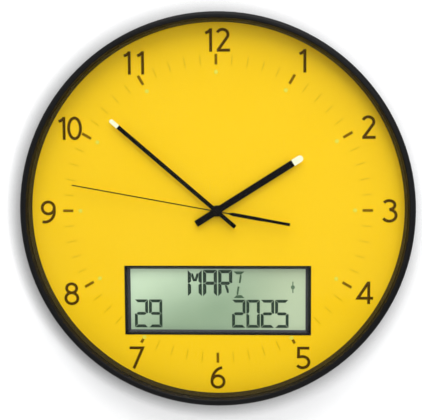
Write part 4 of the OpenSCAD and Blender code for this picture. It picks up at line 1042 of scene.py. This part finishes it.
def polished_rim(name):
    """Black plastic with a little dust: even and dark on its face, and a shade greyer with a soft shine
    down the skirt."""
    rim = Finish(name)
    dust = rim.step(rim.cloud(0.9 * mm), 0.68, 0.74)
    handled = rim.cloud(25 * mm)
    skirt = rim.step(rim.along(1), face_ends, skirt_starts)
    face = rim.blend(handled, paint(16, 16, 17), paint(23, 23, 24))
    clean = rim.blend(skirt, face, paint(36, 36, 38))
    return rim.principled(
        Base_Color=rim.blend(dust * 0.2, clean, paint(66, 66, 66)),
        Roughness=0.28 + handled * 0.12,
        Specular_IOR_Level=0.07,
        Coat_Weight=skirt * 0.3,
        Coat_Roughness=0.3,
        Normal=rim.bump(rim.cloud(0.4 * mm), 0.003 * mm),
    )


dress(polished_rim("rim_plastic"), "front_frame")


# Rear cover and battery door
# The cover is a ribbed disc of sparked black plastic with an opening for the movement, a bay with a
# hinged door, guides for four buttons and a pocket for the hanging screw.
cover_plastic = moulded("cover_plastic", paint(44, 44, 46), 0.55, grain=0.5 * mm, relief=0.03 * mm)
dress(cover_plastic, "rear_cover", "battery_door")


# Buttons
# Four moulded buttons in grey plastic slide in guides of the rear cover. They stand out of it with domed
# heads, and each presses a switch of the board.
button_plastic = moulded("button_plastic", paint(118, 118, 122), 0.42)
dress(button_plastic, "button_mode", "button_set", "button_up", "button_down")


# Signs on the back
# They are pad printed in pale grey: what each button does, how the door opens, which way the knob turns
# the hands, and the poles of the movement's cell. Their outlines are in millimetres.
sign_ink = printed_ink("sign_ink", paint(150, 150, 146), 0.6)
sign_t = 0.05 * mm
sign_half = 0.3
sign_h = 3.2
sign_mid = sign_h / 2
letter_strokes = {
    "M": [
        [(0, 0), (0, sign_h)],
        [(0, sign_h), (1.2, 1)],
        [(1.2, 1), (2.4, sign_h)],
        [(2.4, sign_h), (2.4, 0)],
    ],
    "O": [arc((1.2, sign_mid), (1.2, sign_mid), 0, 360)],
    "D": [
        [(0, 0), (0, sign_h)],
        [(0, sign_h)] + arc((0.7, sign_mid), (1.4, sign_mid), 90, -90) + [(0, 0)],
    ],
    "E": [
        [(0, 0), (0, sign_h)],
        [(0, sign_h), (1.7, sign_h)],
        [(0, sign_mid), (1.5, sign_mid)],
        [(0, 0), (1.7, 0)],
    ],
    "S": [arc((1, 2.4), (0.95, 0.8), 20, 270), arc((1, 0.8), (0.95, 0.8), 90, -160)],
    "T": [[(0, sign_h), (2.2, sign_h)], [(1.1, sign_h), (1.1, 0)]],
}
letter_gap = 1


def word_outlines(text):
    """A word's strokes, in millimetres from its middle."""
    outlines = []
    left = 0
    for letter in text:
        paths = letter_strokes[letter]
        for path in paths:
            outlines += ribbon([(left + x, y) for x, y in path], sign_half)
        left += max(x for path in paths for x, _ in path) + letter_gap
    middle = (left - letter_gap) / 2
    return [[(x - middle, y - sign_mid) for x, y in outline] for outline in outlines]


def printed_sign(name, outlines, at, level, body):
    """Outlines in millimetres as they are read from behind, set round a point of the dial's plan."""
    placed = [[(x * mm - at[0], y * mm + at[1]) for x, y in outline] for outline in outlines]
    flat_piece(name, placed, level, sign_t, sign_ink, body, mirrored=True)


def middle_of(node):
    """The middle of a node on the dial's plan."""
    low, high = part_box(node)
    return ((low.x + high.x) / 2, (low.z + high.z) / 2 - arbor_z)


cover_level = 3 * mm
above_button = 8 * mm
upward = [[(-1.7, -1.3), (1.7, -1.3), (0, 1.7)]]
downward = [[(x, -y) for x, y in upward[0]]]
button_signs = {
    "button_mode": word_outlines("MODE"),
    "button_set": word_outlines("SET"),
    "button_up": upward,
    "button_down": downward,
}
for node, outlines in button_signs.items():
    x, y = middle_of(node)
    printed_sign(node + "_sign", outlines, (x, y + above_button), cover_level, "case")

door_x, door_y = middle_of("battery_door")
door_sign_drop = 2 * mm
head_half = 2.6
head_h = 4
shaft_half = 0.9
shaft_h = 4.5
lap = 0.1
door_arrow_head = [(-head_half, 0), (head_half, 0), (0, head_h)]
door_arrow = [door_arrow_head, oblong(-shaft_half, -shaft_h, shaft_half, lap)]
door_at = (door_x, door_y - door_sign_drop)
printed_sign("door_sign", door_arrow, door_at, cover_level, "door")

_, movement_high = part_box("movement_case")
movement_back = -movement_high.y
turn_r = 8.2
turn_half = 0.4
turn_from = 195
turn_to = -15
turn_path = arc((0, 0), (turn_r, turn_r), turn_from, turn_to)
tip_x, tip_y = turn_path[-1]
turn_head_half = 1.5
turn_head_lean = 0.6
turn_head_h = 2.4
turn_head = [
    (tip_x - turn_head_half, tip_y),
    (tip_x + turn_head_half, tip_y),
    (tip_x - turn_head_lean, tip_y - turn_head_h),
]
turn_arrow = [*ribbon(turn_path, turn_half), turn_head]
knob_at = middle_of("setting_knob")
printed_sign("knob_sign", turn_arrow, knob_at, movement_back, "case")

pole_reach = 1.7
pole_half = 0.35
bar_across = oblong(-pole_reach, -pole_half, pole_reach, pole_half)
poles = {"plus_sign": [bar_across, [(y, x) for x, y in bar_across]], "minus_sign": [bar_across]}
above_cell = 4 * mm
share_of_cell_end = 0.86
cell_low, cell_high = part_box("movement_cell")
for (name, outlines), cell_end in zip(poles.items(), (cell_high.x, cell_low.x)):
    at = (cell_end * share_of_cell_end, cell_high.z - arbor_z + above_cell)
    printed_sign(name, outlines, at, movement_back, "case")


# Hanger and wall bumpers
# A plate of plated steel with a keyhole takes the wall screw. Two soft pads keep the lower part of the
# case off the wall.
def soft_rubber(name):
    """Black rubber with a pale bloom."""
    rubber = Finish(name)
    bloom = rubber.cloud(3 * mm)
    return rubber.principled(
        Base_Color=rubber.blend(bloom, paint(30, 30, 30), paint(48, 47, 46)),
        Roughness=0.78 + bloom * 0.12,
        Normal=rubber.bump(rubber.cloud(0.4 * mm), 0.02 * mm),
    )


dress(stamped_metal("hanger_steel", paint(182, 183, 184), 0.3, (6, 1, 1), dulled=0.75), "hanger_plate")
dress(soft_rubber("bumper_rubber"), "wall_bumpers")
